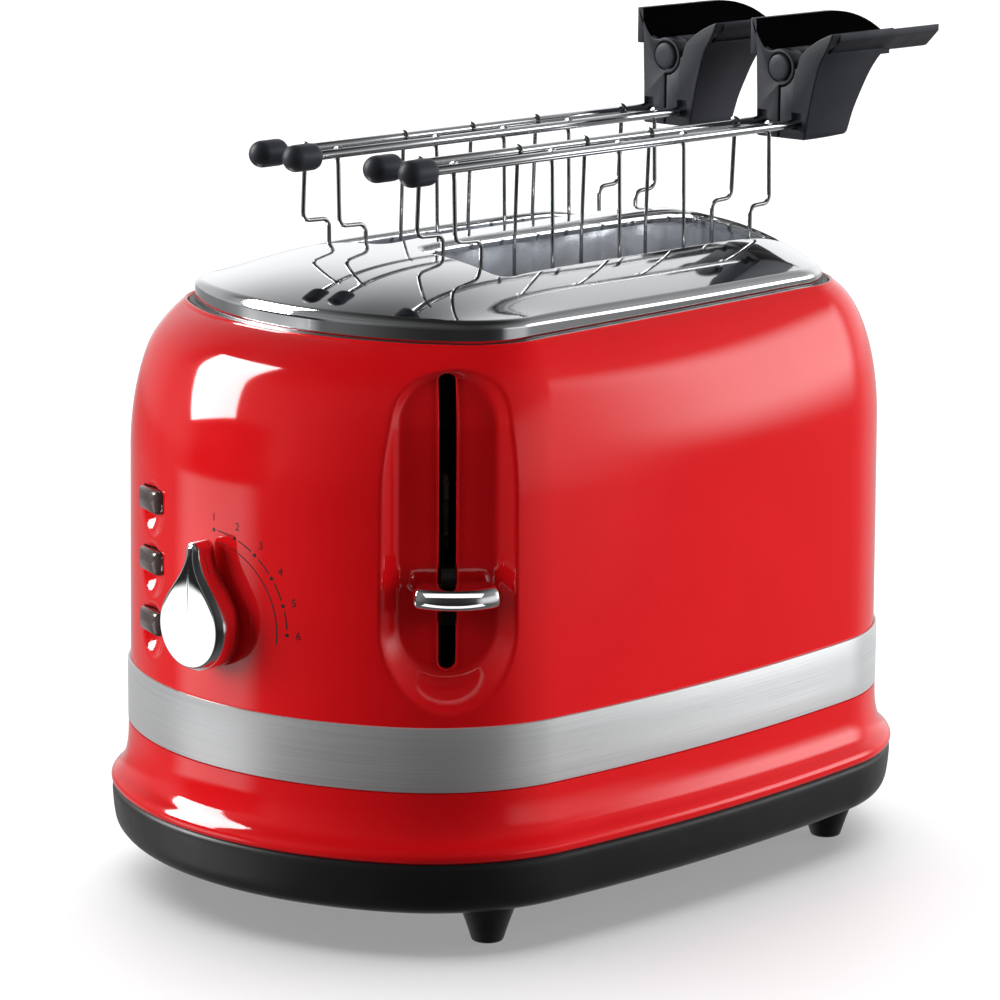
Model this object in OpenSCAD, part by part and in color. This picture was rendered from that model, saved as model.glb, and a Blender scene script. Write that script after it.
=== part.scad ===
// Two-slot toaster with a pair of lift-out sandwich tongs.
// Millimetres, +Z up, control end towards -Y. The origin is on the floor
// under the middle of the bread slots.

/* [Body] */
// Half width of the body at the trim band
half_w = 90; // [80:0.5:100]
// Half length of the body at the trim band
half_l = 132.25; // [120:0.25:145]
// Plan radius of the rounded ends
end_r = 109.3; // [100:0.1:130]
// Plan radius of the bowed long sides
side_r = 645; // [500:5:900]
// Plan radius of the body corners
corner_r = 59; // [40:0.5:70]
// Distance from the body middle to the slot middle along Y
body_y = -16.4; // [-20:0.1:-10]
// Wall thickness of the painted shell
shell_t = 1.6; // [1.2:0.1:2.5]
// Height where the shoulder starts to curve in
shoulder_z = 140; // [130:1:150]
// Height of the shell's rim
rim_z = 188; // [180:0.5:195]

/* [Top plate] */
// Half width of the plate
plate_w = 69.5; // [65:0.5:72]
// Half length of the plate
plate_l = 104; // [100:0.5:108]
// Plan radius of the plate's ends
plate_end_r = 103; // [95:1:110]
// Plan radius of the plate's corners
plate_corner_r = 24; // [6:0.5:30]
// Height of the plate's lower edge
plate_z = 186.5; // [184:0.5:190]
// Height of the plate's crown
crown_z = 207.4; // [200:0.2:210]

/* [Slots] */
// Distance of each slot's middle from the centre line
slot_x = 25.3; // [24:0.1:28]
// Width of each slot
slot_w = 36; // [30:0.5:38]
// Length of each slot
slot_l = 136; // [130:1:140]

/* [Base] */
// Height of the base's underside
base_z = 12.8; // [10:0.2:15]
// Height where the painted shell starts
skirt_z = 30.4; // [28:0.2:34]
// Foot place along X
foot_x = 68.8; // [60:0.2:72]
// Foot place along Y from the body's middle
foot_y = 83; // [75:0.5:90]

/* [Trim] */
// Lower edge of the trim band
trim_z0 = 51.6; // [48:0.2:55]
// Upper edge of the trim band
trim_z1 = 71.8; // [68:0.2:75]

/* [Lever] */
// Direction the lever faces, degrees from +X
lever_az = -41; // [-60:0.5:-30]
// Width of the lever's slot
lever_slot_w = 5.4; // [5:0.1:7]
// Thickness of the lever's arm
arm_t = 4.2; // [2:0.1:4.4]
// Height of the lever tab's middle
tab_z = 112.5; // [110:0.1:114]

/* [Controls] */
// Dial centre along X
dial_x = -2.8; // [-5:0.1:5]
// Dial centre height
dial_z = 97.3; // [90:0.1:105]
// Radius of the knob's round end
knob_r = 14; // [12:0.2:16]
// Reach of the knob's pointed end
knob_tip = 26.4; // [22:0.2:28]
// Height of the middle button
button_z = 110; // [105:0.5:115]
// Spacing of the buttons
button_pitch = 19.5; // [18:0.5:22]

/* [Tongs] */
// Height of the rails
rail_z = 235.1; // [225:0.1:240]
// Distance of each rail from the tong's middle
rail_dx = 7.55; // [7:0.05:9]
// Radius of the rails
rail_r = 1.5; // [1.2:0.1:2]
// Height of the pivot pin
pivot_z = 253.4; // [248:0.2:258]
// Radius of the cage wires
wire_r = 0.7; // [0.5:0.05:1]
// Height of the cage's bottom wire
cage_z = 76; // [74:0.5:90]

/* [Hidden] */
$fn = 40;
n_side = 3;
n_corner = 7;
n_end = 5;
ring_n = 4 * (n_side + n_corner + n_end);
slot_y0 = -slot_l / 2;
slot_y1 = slot_l / 2;
wall = [half_w, half_l, end_r, side_r, corner_r];
plate = [plate_w, plate_l, plate_end_r, 4000, plate_corner_r];
rim = [plate_w + 4, plate_l + 4, plate_end_r + 4, 4000, plate_corner_r + 4];
front_y = body_y - half_l;                 // front of the trim at the middle
lever_n = [cos(lever_az), sin(lever_az)];
lever_t = [-sin(lever_az), cos(lever_az)];
bay = [71.2, -103.2 + body_y];             // outermost point of the wall at the lever
button_az = -110.6;
button_n = [cos(button_az), sin(button_az)];
button_at = [-38.4, -124.2 + body_y];
frame_y0 = slot_y0 - 6;                    // inner face of the front frame
frame_y1 = slot_y1 + 4;                    // inner face of the rear frame
rod_x = 14;
rod_y = frame_y0 - 12;
guard_dx = 19;
wire_dx = rail_dx + 0.65;                  // the cage wires hang under the rails
liner_t = 1.2;                             // sheet of the slot liners
liner_z = 178;                             // their lower edge

red = "#c8141c";
steel = "#c9ccd0";
dark = "#1c1d1f";
mica = "#b9a27a";
chrome = "#e6e8ea";

// ---- plan outlines: four arcs and four corner fillets, all tangent ----
// p = [half width, half length, end radius, side radius, corner radius]
function corner_c(p) = let (x1 = p[0] - p[3], y2 = p[1] - p[2], d = norm([x1, y2]),
    d1 = p[3] - p[4], d2 = p[2] - p[4], m = (d1 * d1 - d2 * d2 + d * d) / (2 * d),
    h = sqrt(max(0, d1 * d1 - m * m)), ux = -x1 / d, uy = y2 / d)
  [x1 + ux * m - uy * h, uy * m + ux * h];
function quarter(p) = let (c = corner_c(p), x1 = p[0] - p[3], y2 = p[1] - p[2],
    t1 = atan2(c[1], c[0] - x1), t2 = atan2(c[1] - y2, c[0]))
  concat([for (i = [0 : n_side - 1]) let (t = t1 * i / n_side) [x1 + p[3] * cos(t), p[3] * sin(t)]],
    [for (i = [0 : n_corner - 1]) let (t = t1 + (t2 - t1) * i / n_corner) c + p[4] * [cos(t), sin(t)]],
    [for (i = [0 : n_end - 1]) let (t = t2 + (90 - t2) * i / n_end) [p[2] * cos(t), y2 + p[2] * sin(t)]],
    [[0, p[1]]]);
function outline(p) = let (q = quarter(p), n = len(q) - 1)
  concat([for (i = [0 : n - 1]) q[i]],
    [for (i = [0 : n - 1]) [-q[n - i][0], q[n - i][1]]],
    [for (i = [0 : n - 1]) -q[i]],
    [for (i = [0 : n - 1]) [q[n - i][0], -q[n - i][1]]]);
function grow(p, d) = [p[0] + d, p[1] + d, p[2] + d, p[3] + d, max(p[4] + d, 2)];
function blend(p, q, w) = [p[0] + (q[0] - p[0]) * w, p[1] + (q[1] - p[1]) * w, p[2] + (q[2] - p[2]) * w,
  1 / (1 / p[3] + (1 / q[3] - 1 / p[3]) * w), p[4] + (q[4] - p[4]) * w];
function ring_points(s) = [for (r = s) for (q = outline(r[1])) [q[0], q[1], r[0]]];
function ring_faces(k, j) = [for (i = [0 : ring_n - 1]) let (i2 = (i + 1) % ring_n) each
  [[k * ring_n + i, j * ring_n + i, j * ring_n + i2], [k * ring_n + i, j * ring_n + i2, k * ring_n + i2]]];

// solid through a stack of outlines, each given as [height, outline]
module loft(s) translate([0, body_y, 0]) polyhedron(points = ring_points(s),
  faces = concat([[for (i = [0 : ring_n - 1]) i]],
    [[for (i = [ring_n - 1 : -1 : 0]) (len(s) - 1) * ring_n + i]],
    [for (k = [0 : len(s) - 2]) each ring_faces(k, k + 1)]));
// closed wall through a loop of outlines
module loft_wall(s) translate([0, body_y, 0]) polyhedron(points = ring_points(s),
  faces = [for (k = [0 : len(s) - 1]) each ring_faces(k, (k + 1) % len(s))]);

// ---- body ----
// shoulder: w runs from 0 at the wall to 1 at the rim along an elliptic arc
function shoulder_w(z) = 1.4 * (1 - sqrt(max(0, 1 - pow((z - shoulder_z) / (rim_z + 2 - shoulder_z), 2))));
function shoulder(z) = blend(grow(wall, -1.5), rim, shoulder_w(z));
shoulder_zs = [148, 156, 163, 169, 174, 178, 181.5, 184.5, 186.6];
shell_skirt = [[skirt_z, grow(wall, 4.6)], [31.4, grow(wall, 5.4)], [32.8, grow(wall, 5.6)], [34.4, grow(wall, 5)],
  [35.4, grow(wall, 4)], [36.4, grow(wall, 2.8)], [37.8, grow(wall, 1.8)], [39.8, grow(wall, 1)],
  [42.5, grow(wall, 0.4)], [46, grow(wall, 0)], [trim_z0 - 0.4, grow(wall, -0.1)], [trim_z0 - 0.2, grow(wall, -1)],
  [trim_z1, grow(wall, -1)], [105, grow(wall, -1.2)], [shoulder_z, grow(wall, -1.5)]];
shell_outer = concat(shell_skirt, [for (z = shoulder_zs) [z, shoulder(z)]],
  [[rim_z, rim], [rim_z + 0.8, grow(rim, -0.7)]]);
shell_inner = concat([[rim_z + 0.4, grow(rim, -1.7)], [plate_z - 0.5, grow(rim, -1.9)], [plate_z - 0.5, grow(rim, -6)],
    [plate_z - 1.6, grow(rim, -6)]],
  [for (i = [len(shoulder_zs) - 1 : -1 : 0]) let (z = shoulder_zs[i], w = shoulder_w(z))
    [z - 1.7 * w, grow(shoulder(z), -shell_t + 0.6 * w)]],
  [[105, grow(wall, -1.2 - shell_t)], [48, grow(wall, -1 - shell_t)], [41, grow(wall, -0.8 - shell_t)],
    [36, grow(wall, 0.9)], [skirt_z, grow(wall, 2.8)]]);

module facing(at, az) translate([at[0], at[1], 0]) rotate([0, 0, az]) children();
// tapered pocket round the lever, as a stadium between two heights
module pocket(floor_r, depth, out, z0, z1) facing(bay, lever_az)
  hull() for (z = [z0, z1]) translate([-depth, 0, z]) rotate([0, 90, 0])
    cylinder(r1 = floor_r, r2 = floor_r + (depth + out) * 1.3, h = depth + out, $fn = 32);

module body_shell() color(red) difference() {
  union() {
    loft_wall(concat(shell_outer, shell_inner));
    intersection() {
      loft(shell_outer);
      pocket(16.6, 10.6, 4, 101.6, 166);
    }
  }
  pocket(15, 9, 6, 101.6, 166);
  facing(bay, lever_az) translate([-20, -lever_slot_w / 2, 88]) cube([20, lever_slot_w, 91]);
  translate([dial_x, front_y - 2, dial_z]) rotate([-90, 0, 0]) cylinder(r = 5.4, h = 8);
  for (k = [-1 : 1]) facing(button_at, button_az) {
    translate([-5, -8.5, button_z + k * button_pitch - 4.2]) cube([8, 17, 8.4]);
  }
}

module top_plate() color(chrome) difference() {
  plate_solid(plate_z - 0.5, 0, 0);
  plate_solid(plate_z - 3, 1.3, 1.3);
  for (s = [-1, 1]) slot_prism(s, 0, 170, 220);
}
// folded sheet that lines a bread slot, hung under the plate
module slot_liner(s) color(steel) difference() {
  union() {
    intersection() {
      plate_solid(plate_z - 3, 1.32, 1.3);
      slot_prism(s, liner_t, plate_z - 2, 214);
    }
    slot_prism(s, liner_t, liner_z, plate_z - 1);
  }
  slot_prism(s, 0, 170, 220);
}
module slot_liner_r() slot_liner(1);
module slot_liner_l() slot_liner(-1);
// crowned across X and falling at the ends; the edge rolls over with radius roll_r
roll_r = 2.2;
plate_edge = 6;                            // height of the plate at its edge, above its seat
function crown(q) = let (v = min(1, abs(q[1]) / (plate_l - plate_end_r + sqrt(plate_end_r * plate_end_r - q[0] * q[0]))))
  plate_z + plate_edge + (crown_z - plate_z - plate_edge) * (1 - pow(min(1, abs(q[0]) / plate_w), 2.4)) * (1 - pow(v, q[1] < 0 ? 4 : 8));
function roll(d) = d >= roll_r ? 0 : roll_r - sqrt(roll_r * roll_r - pow(roll_r - d, 2));
function inset(d) = [plate_w - d, plate_l - d, plate_end_r - d, 4000, min(plate_corner_r + 1.6 * d, 0.85 * (plate_w - d))];
plate_ds = [0, 0.3, 1, 2.2, 4, 6, 9, 13, 18, 24, 31, 39, 48, 57, 64];
function plate_ring(d, drop) = [for (q = outline(inset(d))) [q[0], q[1],
  (d >= 64 ? crown([0, 0]) : crown(q)) - roll(d) - drop]];
function flat_ring(p, z) = [for (q = outline(p)) [q[0], q[1], z]];
module plate_solid(low, drop, lip) let (r = concat([flat_ring(inset(lip), low)], [for (d = plate_ds) plate_ring(max(d, lip), drop)]),
    rings = [for (i = [0 : len(r) - 1]) if (i < 2 || plate_ds[i - 1] > lip) r[i]], m = len(rings))
  translate([0, body_y, 0]) polyhedron(points = [for (g = rings) each g],
    faces = concat([[for (i = [0 : ring_n - 1]) i]], [[for (i = [ring_n - 1 : -1 : 0]) (m - 1) * ring_n + i]],
      [for (k = [0 : m - 2]) each ring_faces(k, k + 1)]));
module slot_prism(s, t, z0, z1) translate([s * slot_x, 0, z0]) linear_extrude(z1 - z0)
  rounded_box(slot_w + 2 * t, slot_l + 2 * t, 4 + t);
module rounded_box(w, l, r) union() {
  square([w - 2 * r, l], center = true);
  square([w, l - 2 * r], center = true);
  for (x = [-1, 1], y = [-1, 1]) translate([x * (w / 2 - r), y * (l / 2 - r)]) circle(r = r);
}

module trim_band() color(steel) loft_wall([[trim_z0, grow(wall, -0.25)], [trim_z0 + 0.3, wall], [trim_z1 - 0.3, wall],
  [trim_z1, grow(wall, -0.25)], [trim_z1, grow(wall, -0.95)], [trim_z0, grow(wall, -0.95)]]);

// ---- base ----
base_outer = [[base_z, grow(wall, -4)], [13.4, grow(wall, -0.6)], [14.6, grow(wall, 1.5)], [16.4, grow(wall, 3.2)],
  [18.8, grow(wall, 4.2)], [22, grow(wall, 4.8)], [28.4, grow(wall, 5.3)], [29.8, grow(wall, 5)], [skirt_z, grow(wall, 4.4)]];
base_inner = [[base_z + 3, grow(wall, -2)], [19, grow(wall, 1)], [23, grow(wall, 1.8)], [skirt_z + 1, grow(wall, 2.4)]];
tray_w = 98;
post_at = [[63, frame_y0 - 0.75], [-63, frame_y0 - 0.75], [63, frame_y1 + 0.75], [-63, frame_y1 + 0.75]];
module base() color(dark) difference() {
  union() {
    difference() {
      loft(base_outer);
      loft(base_inner);
    }
    for (p = post_at) translate([p[0], p[1], base_z + 2]) cylinder(r = 4, h = 24 - base_z);
    translate([-11, front_y + 31, base_z + 2]) cube([22, 22, 34 - base_z - 2]);
  }
  translate([-tray_w / 2 - 1, 60, 17]) cube([tray_w + 2, 90, 11]);
  for (s = [-1, 1], t = [-1, 1]) translate([s * 40, body_y + t * 80, base_z - 1]) {
    cylinder(r = 1.75, h = 8);
    cylinder(r = 3.6, h = 2.4);
  }
  gland_place() translate([0, 0, -8]) cylinder(r = 5, h = 12);
}
module base_screws() color(steel) for (s = [-1, 1], t = [-1, 1]) translate([s * 40, body_y + t * 80, base_z]) difference() {
  union() {
    cylinder(r = 3.4, h = 1.35);
    cylinder(r = 1.7, h = 4);
  }
  for (a = [0, 90]) rotate([0, 0, a]) translate([-2, -0.4, -1]) cube([4, 0.8, 1.7]);
}
module foot(x, y) color(dark) translate([x, body_y + y, 0]) {
  cylinder(r1 = 5, r2 = 5.6, h = 0.8);
  translate([0, 0, 0.8]) cylinder(r1 = 5.6, r2 = 9.6, h = base_z - 0.8);
}
module foot_fr() foot(foot_x, -foot_y);
module foot_fl() foot(-foot_x, -foot_y);
module foot_br() foot(foot_x, foot_y);
module foot_bl() foot(-foot_x, foot_y);
gland_az = 127;
gland_at = [-66, 116.2 + body_y];
module gland_place() translate([gland_at[0], gland_at[1], 22.5]) rotate([0, 0, gland_az]) rotate([0, 90, 0]) children();
module cord_gland() color(dark) gland_place() {
  translate([0, 0, -5]) cylinder(r = 4.95, h = 6);
  translate([0, 0, 1]) cylinder(r1 = 7, r2 = 5.5, h = 3);
  translate([0, 0, 4]) cylinder(r1 = 5.5, r2 = 4, h = 5);
}

// ---- crumb tray: slides out at the back ----
module crumb_tray() color(steel) union() {
  difference() {
    translate([-tray_w / 2, frame_y0 - 2, 18]) cube([tray_w, 166, 7.4]);
    translate([-tray_w / 2 + 1.2, frame_y0 - 0.8, 19.2]) cube([tray_w - 2.4, 163.6, 8]);
  }
  intersection() {
    loft(base_outer);
    difference() {
      translate([-tray_w / 2, frame_y0 + 160, 17.6]) cube([tray_w, 50, 9.8]);
      translate([0, 125, 26]) rotate([0, 90, 0]) cylinder(r = 6, h = 40, center = true);
    }
  }
}

// ---- frames, reflectors, heating elements, guards ----
module front_frame() color(steel) difference() {
  union() {
    translate([-66, frame_y0 - 1.5, 26]) cube([132, 1.5, 158]);
    for (z = [40, 182.5]) translate([-24, frame_y0 - 20, z]) cube([48, 18.6, 1.5]);
  }
  for (s = [-1, 1]) {
    translate([s * slot_x - 3, frame_y0 - 4, 56]) cube([6, 8, 82]);
    translate([s * rod_x, rod_y, 30]) cylinder(r = 2.5, h = 160);
  }
}
module rear_frame() color(steel) difference() {
  translate([0, frame_y1 + 1.5, 0]) rotate([90, 0, 0]) linear_extrude(1.5)
    polygon([[-66, 26], [66, 26], [66, 150], [58, 172], [58, 184], [-58, 184], [-58, 172], [-66, 150]]);
  for (s = [-1, 1]) translate([s * slot_x - 2, frame_y1 - 2, 60]) cube([4, 6, 24]);
}
module reflector(s) color(steel) translate([s * 58 - 0.5, frame_y0, 50]) cube([1, frame_y1 - frame_y0, 128]);
module reflector_r() reflector(1);
module reflector_l() reflector(-1);
// mica card with heater ribbon across the faces in "sides"
module element(x, sides) color(mica) {
  translate([x - 0.6, frame_y0, 78]) cube([1.2, frame_y1 - frame_y0, 98]);
  for (s = sides, z = [86 : 12 : 170]) translate([x + s * 0.8, frame_y0 + 8, z]) rotate([-90, 0, 0])
    cylinder(r = 0.6, h = frame_y1 - frame_y0 - 16, $fn = 16);
}
module element_r() element(50, [-1]);
module element_c() element(0, [-1, 1]);
module element_l() element(-50, [1]);
module guide_rod(s) color(chrome) translate([s * rod_x, rod_y, 38]) cylinder(r = 2.5, h = 147);
module guide_rod_r() guide_rod(1);
module guide_rod_l() guide_rod(-1);
module guard(x) color(steel) {
  for (z = [68, 174]) translate([x, frame_y0, z]) rotate([-90, 0, 0]) cylinder(r = 0.8, h = frame_y1 - frame_y0, $fn = 20);
  for (i = [0 : 6]) translate([x, -63 + i * 21, 68]) cylinder(r = 0.7, h = 106, $fn = 20);
}
module guard_r_out() guard(slot_x + guard_dx);
module guard_r_in() guard(slot_x - guard_dx);
module guard_l_in() guard(-slot_x + guard_dx);
module guard_l_out() guard(-slot_x - guard_dx);

// ---- control parts behind the front end ----
board_y = front_y + 22.5;
module control_board() color("#2f5d3a") difference() {
  union() {
    translate([-50, board_y, 62]) cube([84, 1.6, 82]);
    for (k = [-1 : 1]) translate([-42, board_y - 2, button_z + k * button_pitch - 4]) cube([12, 2, 8]);
    translate([8, board_y + 1.6, 70]) cube([18, 9, 22]);
    translate([8, board_y + 1.6, 100]) cube([14, 7, 26]);
  }
  for (x = [-46, 30], z = [66, 140]) translate([x, board_y - 3, z]) rotate([-90, 0, 0]) cylinder(r = 1.6, h = 8);
}
module timer_pot() color("#3a3d42") difference() {
  translate([dial_x, 0, dial_z]) rotate([-90, 0, 0]) {
    translate([0, 0, board_y - 12]) cylinder(r = 11, h = 12);
    translate([0, 0, front_y + 0.4]) cylinder(r = 5, h = board_y - 12 - front_y - 0.4);
  }
  translate([dial_x, front_y - 1, dial_z]) rotate([-90, 0, 0]) cylinder(r = 3.05, h = 16);
}
module solenoid() color("#8a4b2a") translate([0, front_y + 42, 34]) {
  translate([-10, -9, 0]) cube([20, 18, 2]);
  translate([0, 0, 2]) cylinder(r = 8, h = 16);
  translate([0, 0, 18]) cylinder(r = 3, h = 3);
}

// ---- carriage and lever ----
carriage_z0 = 66;
carriage_z1 = 112;
carriage_y = frame_y0 - 6;
module carriage() color(steel) difference() {
  union() {
    translate([-36, carriage_y, carriage_z0]) cube([72, 2, carriage_z1 - carriage_z0]);
    for (s = [-1, 1]) {
      translate([s * rod_x, rod_y, carriage_z0]) cylinder(r = 4.6, h = carriage_z1 - carriage_z0);
      translate([s * rod_x - 2, rod_y + 3, carriage_z0]) cube([4, carriage_y - rod_y - 2, carriage_z1 - carriage_z0]);
    }
    translate([-8, carriage_y - 34, carriage_z0]) cube([16, 35, 2]);
    translate([-5, carriage_y - 12, carriage_z1 - 2]) cube([10, 13, 2]);
  }
  for (s = [-1, 1]) translate([s * rod_x, rod_y, 50]) cylinder(r = 2.55, h = 80);
}
arm_z0 = 103;
arm_z1 = 120.5;
module lever_arm() color(steel) difference() {
  facing(bay, lever_az) translate([-80, -arm_t / 2, arm_z0]) cube([76, arm_t, arm_z1 - arm_z0]);
  translate([-60, carriage_y, arm_z0 - 1]) cube([200, 100, 30]);
}
tab_w = 13.2;                              // half width of the tab
tab_h = 7.1;                               // height of the tab, most of it above the arm
tab_r = 20;                                // plan radius of the tab's front edge
module lever_tab() color(chrome) facing(bay, lever_az) translate([0, 1.5, tab_z - 2.3]) linear_extrude(tab_h)
  polygon(concat([[-4, -8], [-2.6, -11.6], [0, -tab_w]],
    [for (i = [-8 : 8]) let (t = i * asin(tab_w / tab_r) / 8) [12 - tab_r + tab_r * cos(t), tab_r * sin(t)]],
    [[0, tab_w], [-2.6, 11.6], [-4, 8]]));
module lifter(s) color(steel) {
  translate([s * slot_x - 2, carriage_y + 2, 66]) cube([4, 16, 8.8]);
  translate([s * slot_x - 10, slot_y0 + 2, 72.6]) cube([20, slot_l - 8, 2.2]);
}
module lifter_r() lifter(1);
module lifter_l() lifter(-1);
// spring wire swept along a helix between the carriage and the upper flange
spring_n = 11;
spring_z0 = carriage_z1;
spring_z1 = 182.5;
spring_steps = 16;
function spring_pt(i, k) = let (t = i / (spring_n * spring_steps), a = 360 * spring_n * t, b = 60 * k,
    r = 3.2 + 0.6 * cos(b), z = spring_z0 + 0.6 + (spring_z1 - spring_z0 - 1.2) * t + 0.6 * sin(b))
  [r * cos(a), rod_y + 1 + r * sin(a), z];
module return_spring() color(steel) let (m = spring_n * spring_steps) polyhedron(
  points = [for (i = [0 : m]) for (k = [0 : 5]) spring_pt(i, k)],
  faces = concat([[5, 4, 3, 2, 1, 0]], [[for (k = [0 : 5]) m * 6 + k]],
    [for (i = [0 : m - 1]) for (k = [0 : 5]) let (k2 = (k + 1) % 6) each
      [[i * 6 + k, i * 6 + k2, (i + 1) * 6 + k2], [i * 6 + k, (i + 1) * 6 + k2, (i + 1) * 6 + k]]]));

// ---- browning knob ----
knob_y0 = front_y - 0.9;
knob_h = 9.2;
tip_r = 2.7;
// round end of radius r, hollow flanks, tip of radius rt reaching d
function flank(r, rt, d) = [for (i = [1 : 9]) let (t = i / 10, p = r * [cos(32), sin(32)], q = [rt, d - rt],
    c = [rt + 1.6, r * 0.92]) (1 - t) * (1 - t) * p + 2 * t * (1 - t) * c + t * t * q];
function knob_half(r, rt, d) = concat([for (i = [0 : 16]) let (a = -90 + i * 122 / 16) r * [cos(a), sin(a)]],
  flank(r, rt, d), [for (i = [0 : 6]) let (a = i * 15) [rt * cos(a), d - rt + rt * sin(a)]]);
module knob_plan(r, rt, d) let (h = knob_half(r, rt, d), n = len(h))
  polygon(concat(h, [for (i = [n - 2 : -1 : 1]) [-h[i][0], h[i][1]]]));
module browning_knob() color(chrome) difference() {
  translate([dial_x, knob_y0, dial_z]) rotate([90, 0, 0]) union() {
    linear_extrude(knob_h - 1.4) knob_plan(knob_r, tip_r, knob_tip);
    linear_extrude(knob_h) knob_plan(knob_r - 1.6, tip_r - 0.9, knob_tip - 2.2);
  }
  translate([dial_x, knob_y0 - 6, dial_z]) rotate([-90, 0, 0]) cylinder(r = 3, h = 10);
}
module knob_shaft() color(steel) translate([dial_x, knob_y0 - 6, dial_z]) rotate([-90, 0, 0]) cylinder(r = 3, h = 20);

// ---- push buttons ----
module button(k) color("#4a3d3a") facing(button_at, button_az) translate([0, 0, button_z + k * button_pitch]) {
  translate([-6, -8, -3.7]) cube([9, 16, 7.4]);
  translate([-6.8, -9.4, -5.2]) cube([0.9, 18.8, 10.4]);
}
module button_top() button(1);
module button_mid() button(0);
module button_low() button(-1);

// ---- sandwich tongs: two hinged halves on a pin ----
tong_y = 87.2;                             // front face of the grips
module tong_at(s) translate([s * slot_x, tong_y, 0]) children();
// extrude a profile drawn in X and Z along Y
module along_y(h) rotate([90, 0, 0]) mirror([0, 0, 1]) linear_extrude(h) children();
module pin(s) color(dark) tong_at(s) translate([0, 0, pivot_z]) rotate([-90, 0, 0]) {
  translate([0, 0, -1.4]) cylinder(r = 4.5, h = 1);
  translate([0, 0, -0.4]) cylinder(r = 3, h = 22.4);
}
module grip_side() rotate([90, 0, 90]) translate([0, 0, -40]) linear_extrude(80)
  polygon([[0, 229.8], [22.4, 231.4], [23.4, 238.6], [26, 246.6], [33.4, 257], [33.4, 272], [0, 272]]);
module rail_holes(s, d) for (y = [0]) translate([d * rail_dx, y - 1, rail_z]) {
  rotate([-90, 0, 0]) cylinder(r = rail_r, h = 13);
  translate([-2.2, -1, -2]) cube([4.4, 4, 6.4]);
}
// half A is on the +X side, half B on the -X side
module grip_a(s) color(dark) tong_at(s) difference() {
  union() {
    intersection() {
      along_y(40) polygon([[0.4, 229], [11, 229], [11.6, 236], [13.7, 245], [17.2, 256], [22.5, 266], [16, 263.4],
        [10.3, 260], [7.3, 257.2], [6, pivot_z], [0.4, pivot_z]]);
      grip_side();
    }
    translate([0, 7.2, pivot_z]) rotate([-90, 0, 0]) cylinder(r = 6.2, h = 7.6);
    translate([0, 18, 0]) along_y(bar_end - 18) polygon([[15.4, 258], [17, 258], [22.5, 263.4], [22.5, 265.6], [19, 264.4]]);
  }
  translate([0, -1, pivot_z]) rotate([-90, 0, 0]) cylinder(r = 6.7, h = 7.8);
  translate([0, 15.2, pivot_z]) rotate([-90, 0, 0]) cylinder(r = 6.7, h = 30);
  translate([0, -2, pivot_z]) rotate([-90, 0, 0]) cylinder(r = 3.05, h = 40);
  rail_holes(s, 1);
}
grip_end = 71.55;                          // rear of the plate of half B
bar_end = 57.5;                            // rear of the bar of half A
module grip_b(s) color(dark) tong_at(s) difference() {
  union() {
    intersection() {
      along_y(40) polygon([[-0.4, 229], [-10.4, 229], [-10.2, 240], [-12.9, 264], [-12.9, 268.4], [-11, 269], [-5.3, 258.8],
        [-1, 258.6], [-0.4, pivot_z]]);
      grip_side();
    }
    translate([0, 0, pivot_z]) rotate([-90, 0, 0]) cylinder(r = 6.2, h = 6.4);
    translate([0, 15.6, pivot_z]) rotate([-90, 0, 0]) cylinder(r = 6.2, h = 6.8);
    intersection() {
      along_y(grip_end) polygon([[-12.9, 257], [-10.4, 257], [-10.4, 269], [-12.9, 269]]);
      rotate([90, 0, 90]) translate([0, 0, -40]) linear_extrude(80) union() {
        translate([0, 250]) square([38.4, 19]);
        translate([38.4, 214]) circle(r = 55, $fn = 200);
      }
    }
  }
  translate([0, 6.9, pivot_z]) rotate([-90, 0, 0]) cylinder(r = 6.7, h = 8.2);
  translate([0, -2, pivot_z]) rotate([-90, 0, 0]) cylinder(r = 3.05, h = 40);
  rail_holes(s, -1);
}
cap_y = -101.5;                            // tip of the rail caps
module rail(s, d) color(chrome) translate([s * slot_x + d * rail_dx, cap_y + 6, rail_z]) rotate([-90, 0, 0])
  cylinder(r = rail_r, h = tong_y + 12 - cap_y - 6);
module cap(s, d) color(dark) translate([s * slot_x + d * rail_dx, cap_y, rail_z]) rotate([-90, 0, 0]) difference() {
  union() {
    translate([0, 0, 4.3]) cylinder(r = 4.3, h = 8.8);
    translate([0, 0, 4.3]) sphere(r = 4.3);
  }
  translate([0, 0, 6]) cylinder(r = rail_r, h = 30);
}
// upright and lengthwise wires of a cage, at one X
module upright(x, y, z0, z1, r) translate([x, y, z0]) cylinder(r = r, h = z1 - z0, $fn = 20);
module lengthwise(x, y0, y1, z, r) translate([x, y0, z]) rotate([-90, 0, 0]) cylinder(r = r, h = y1 - y0, $fn = 20);
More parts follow.
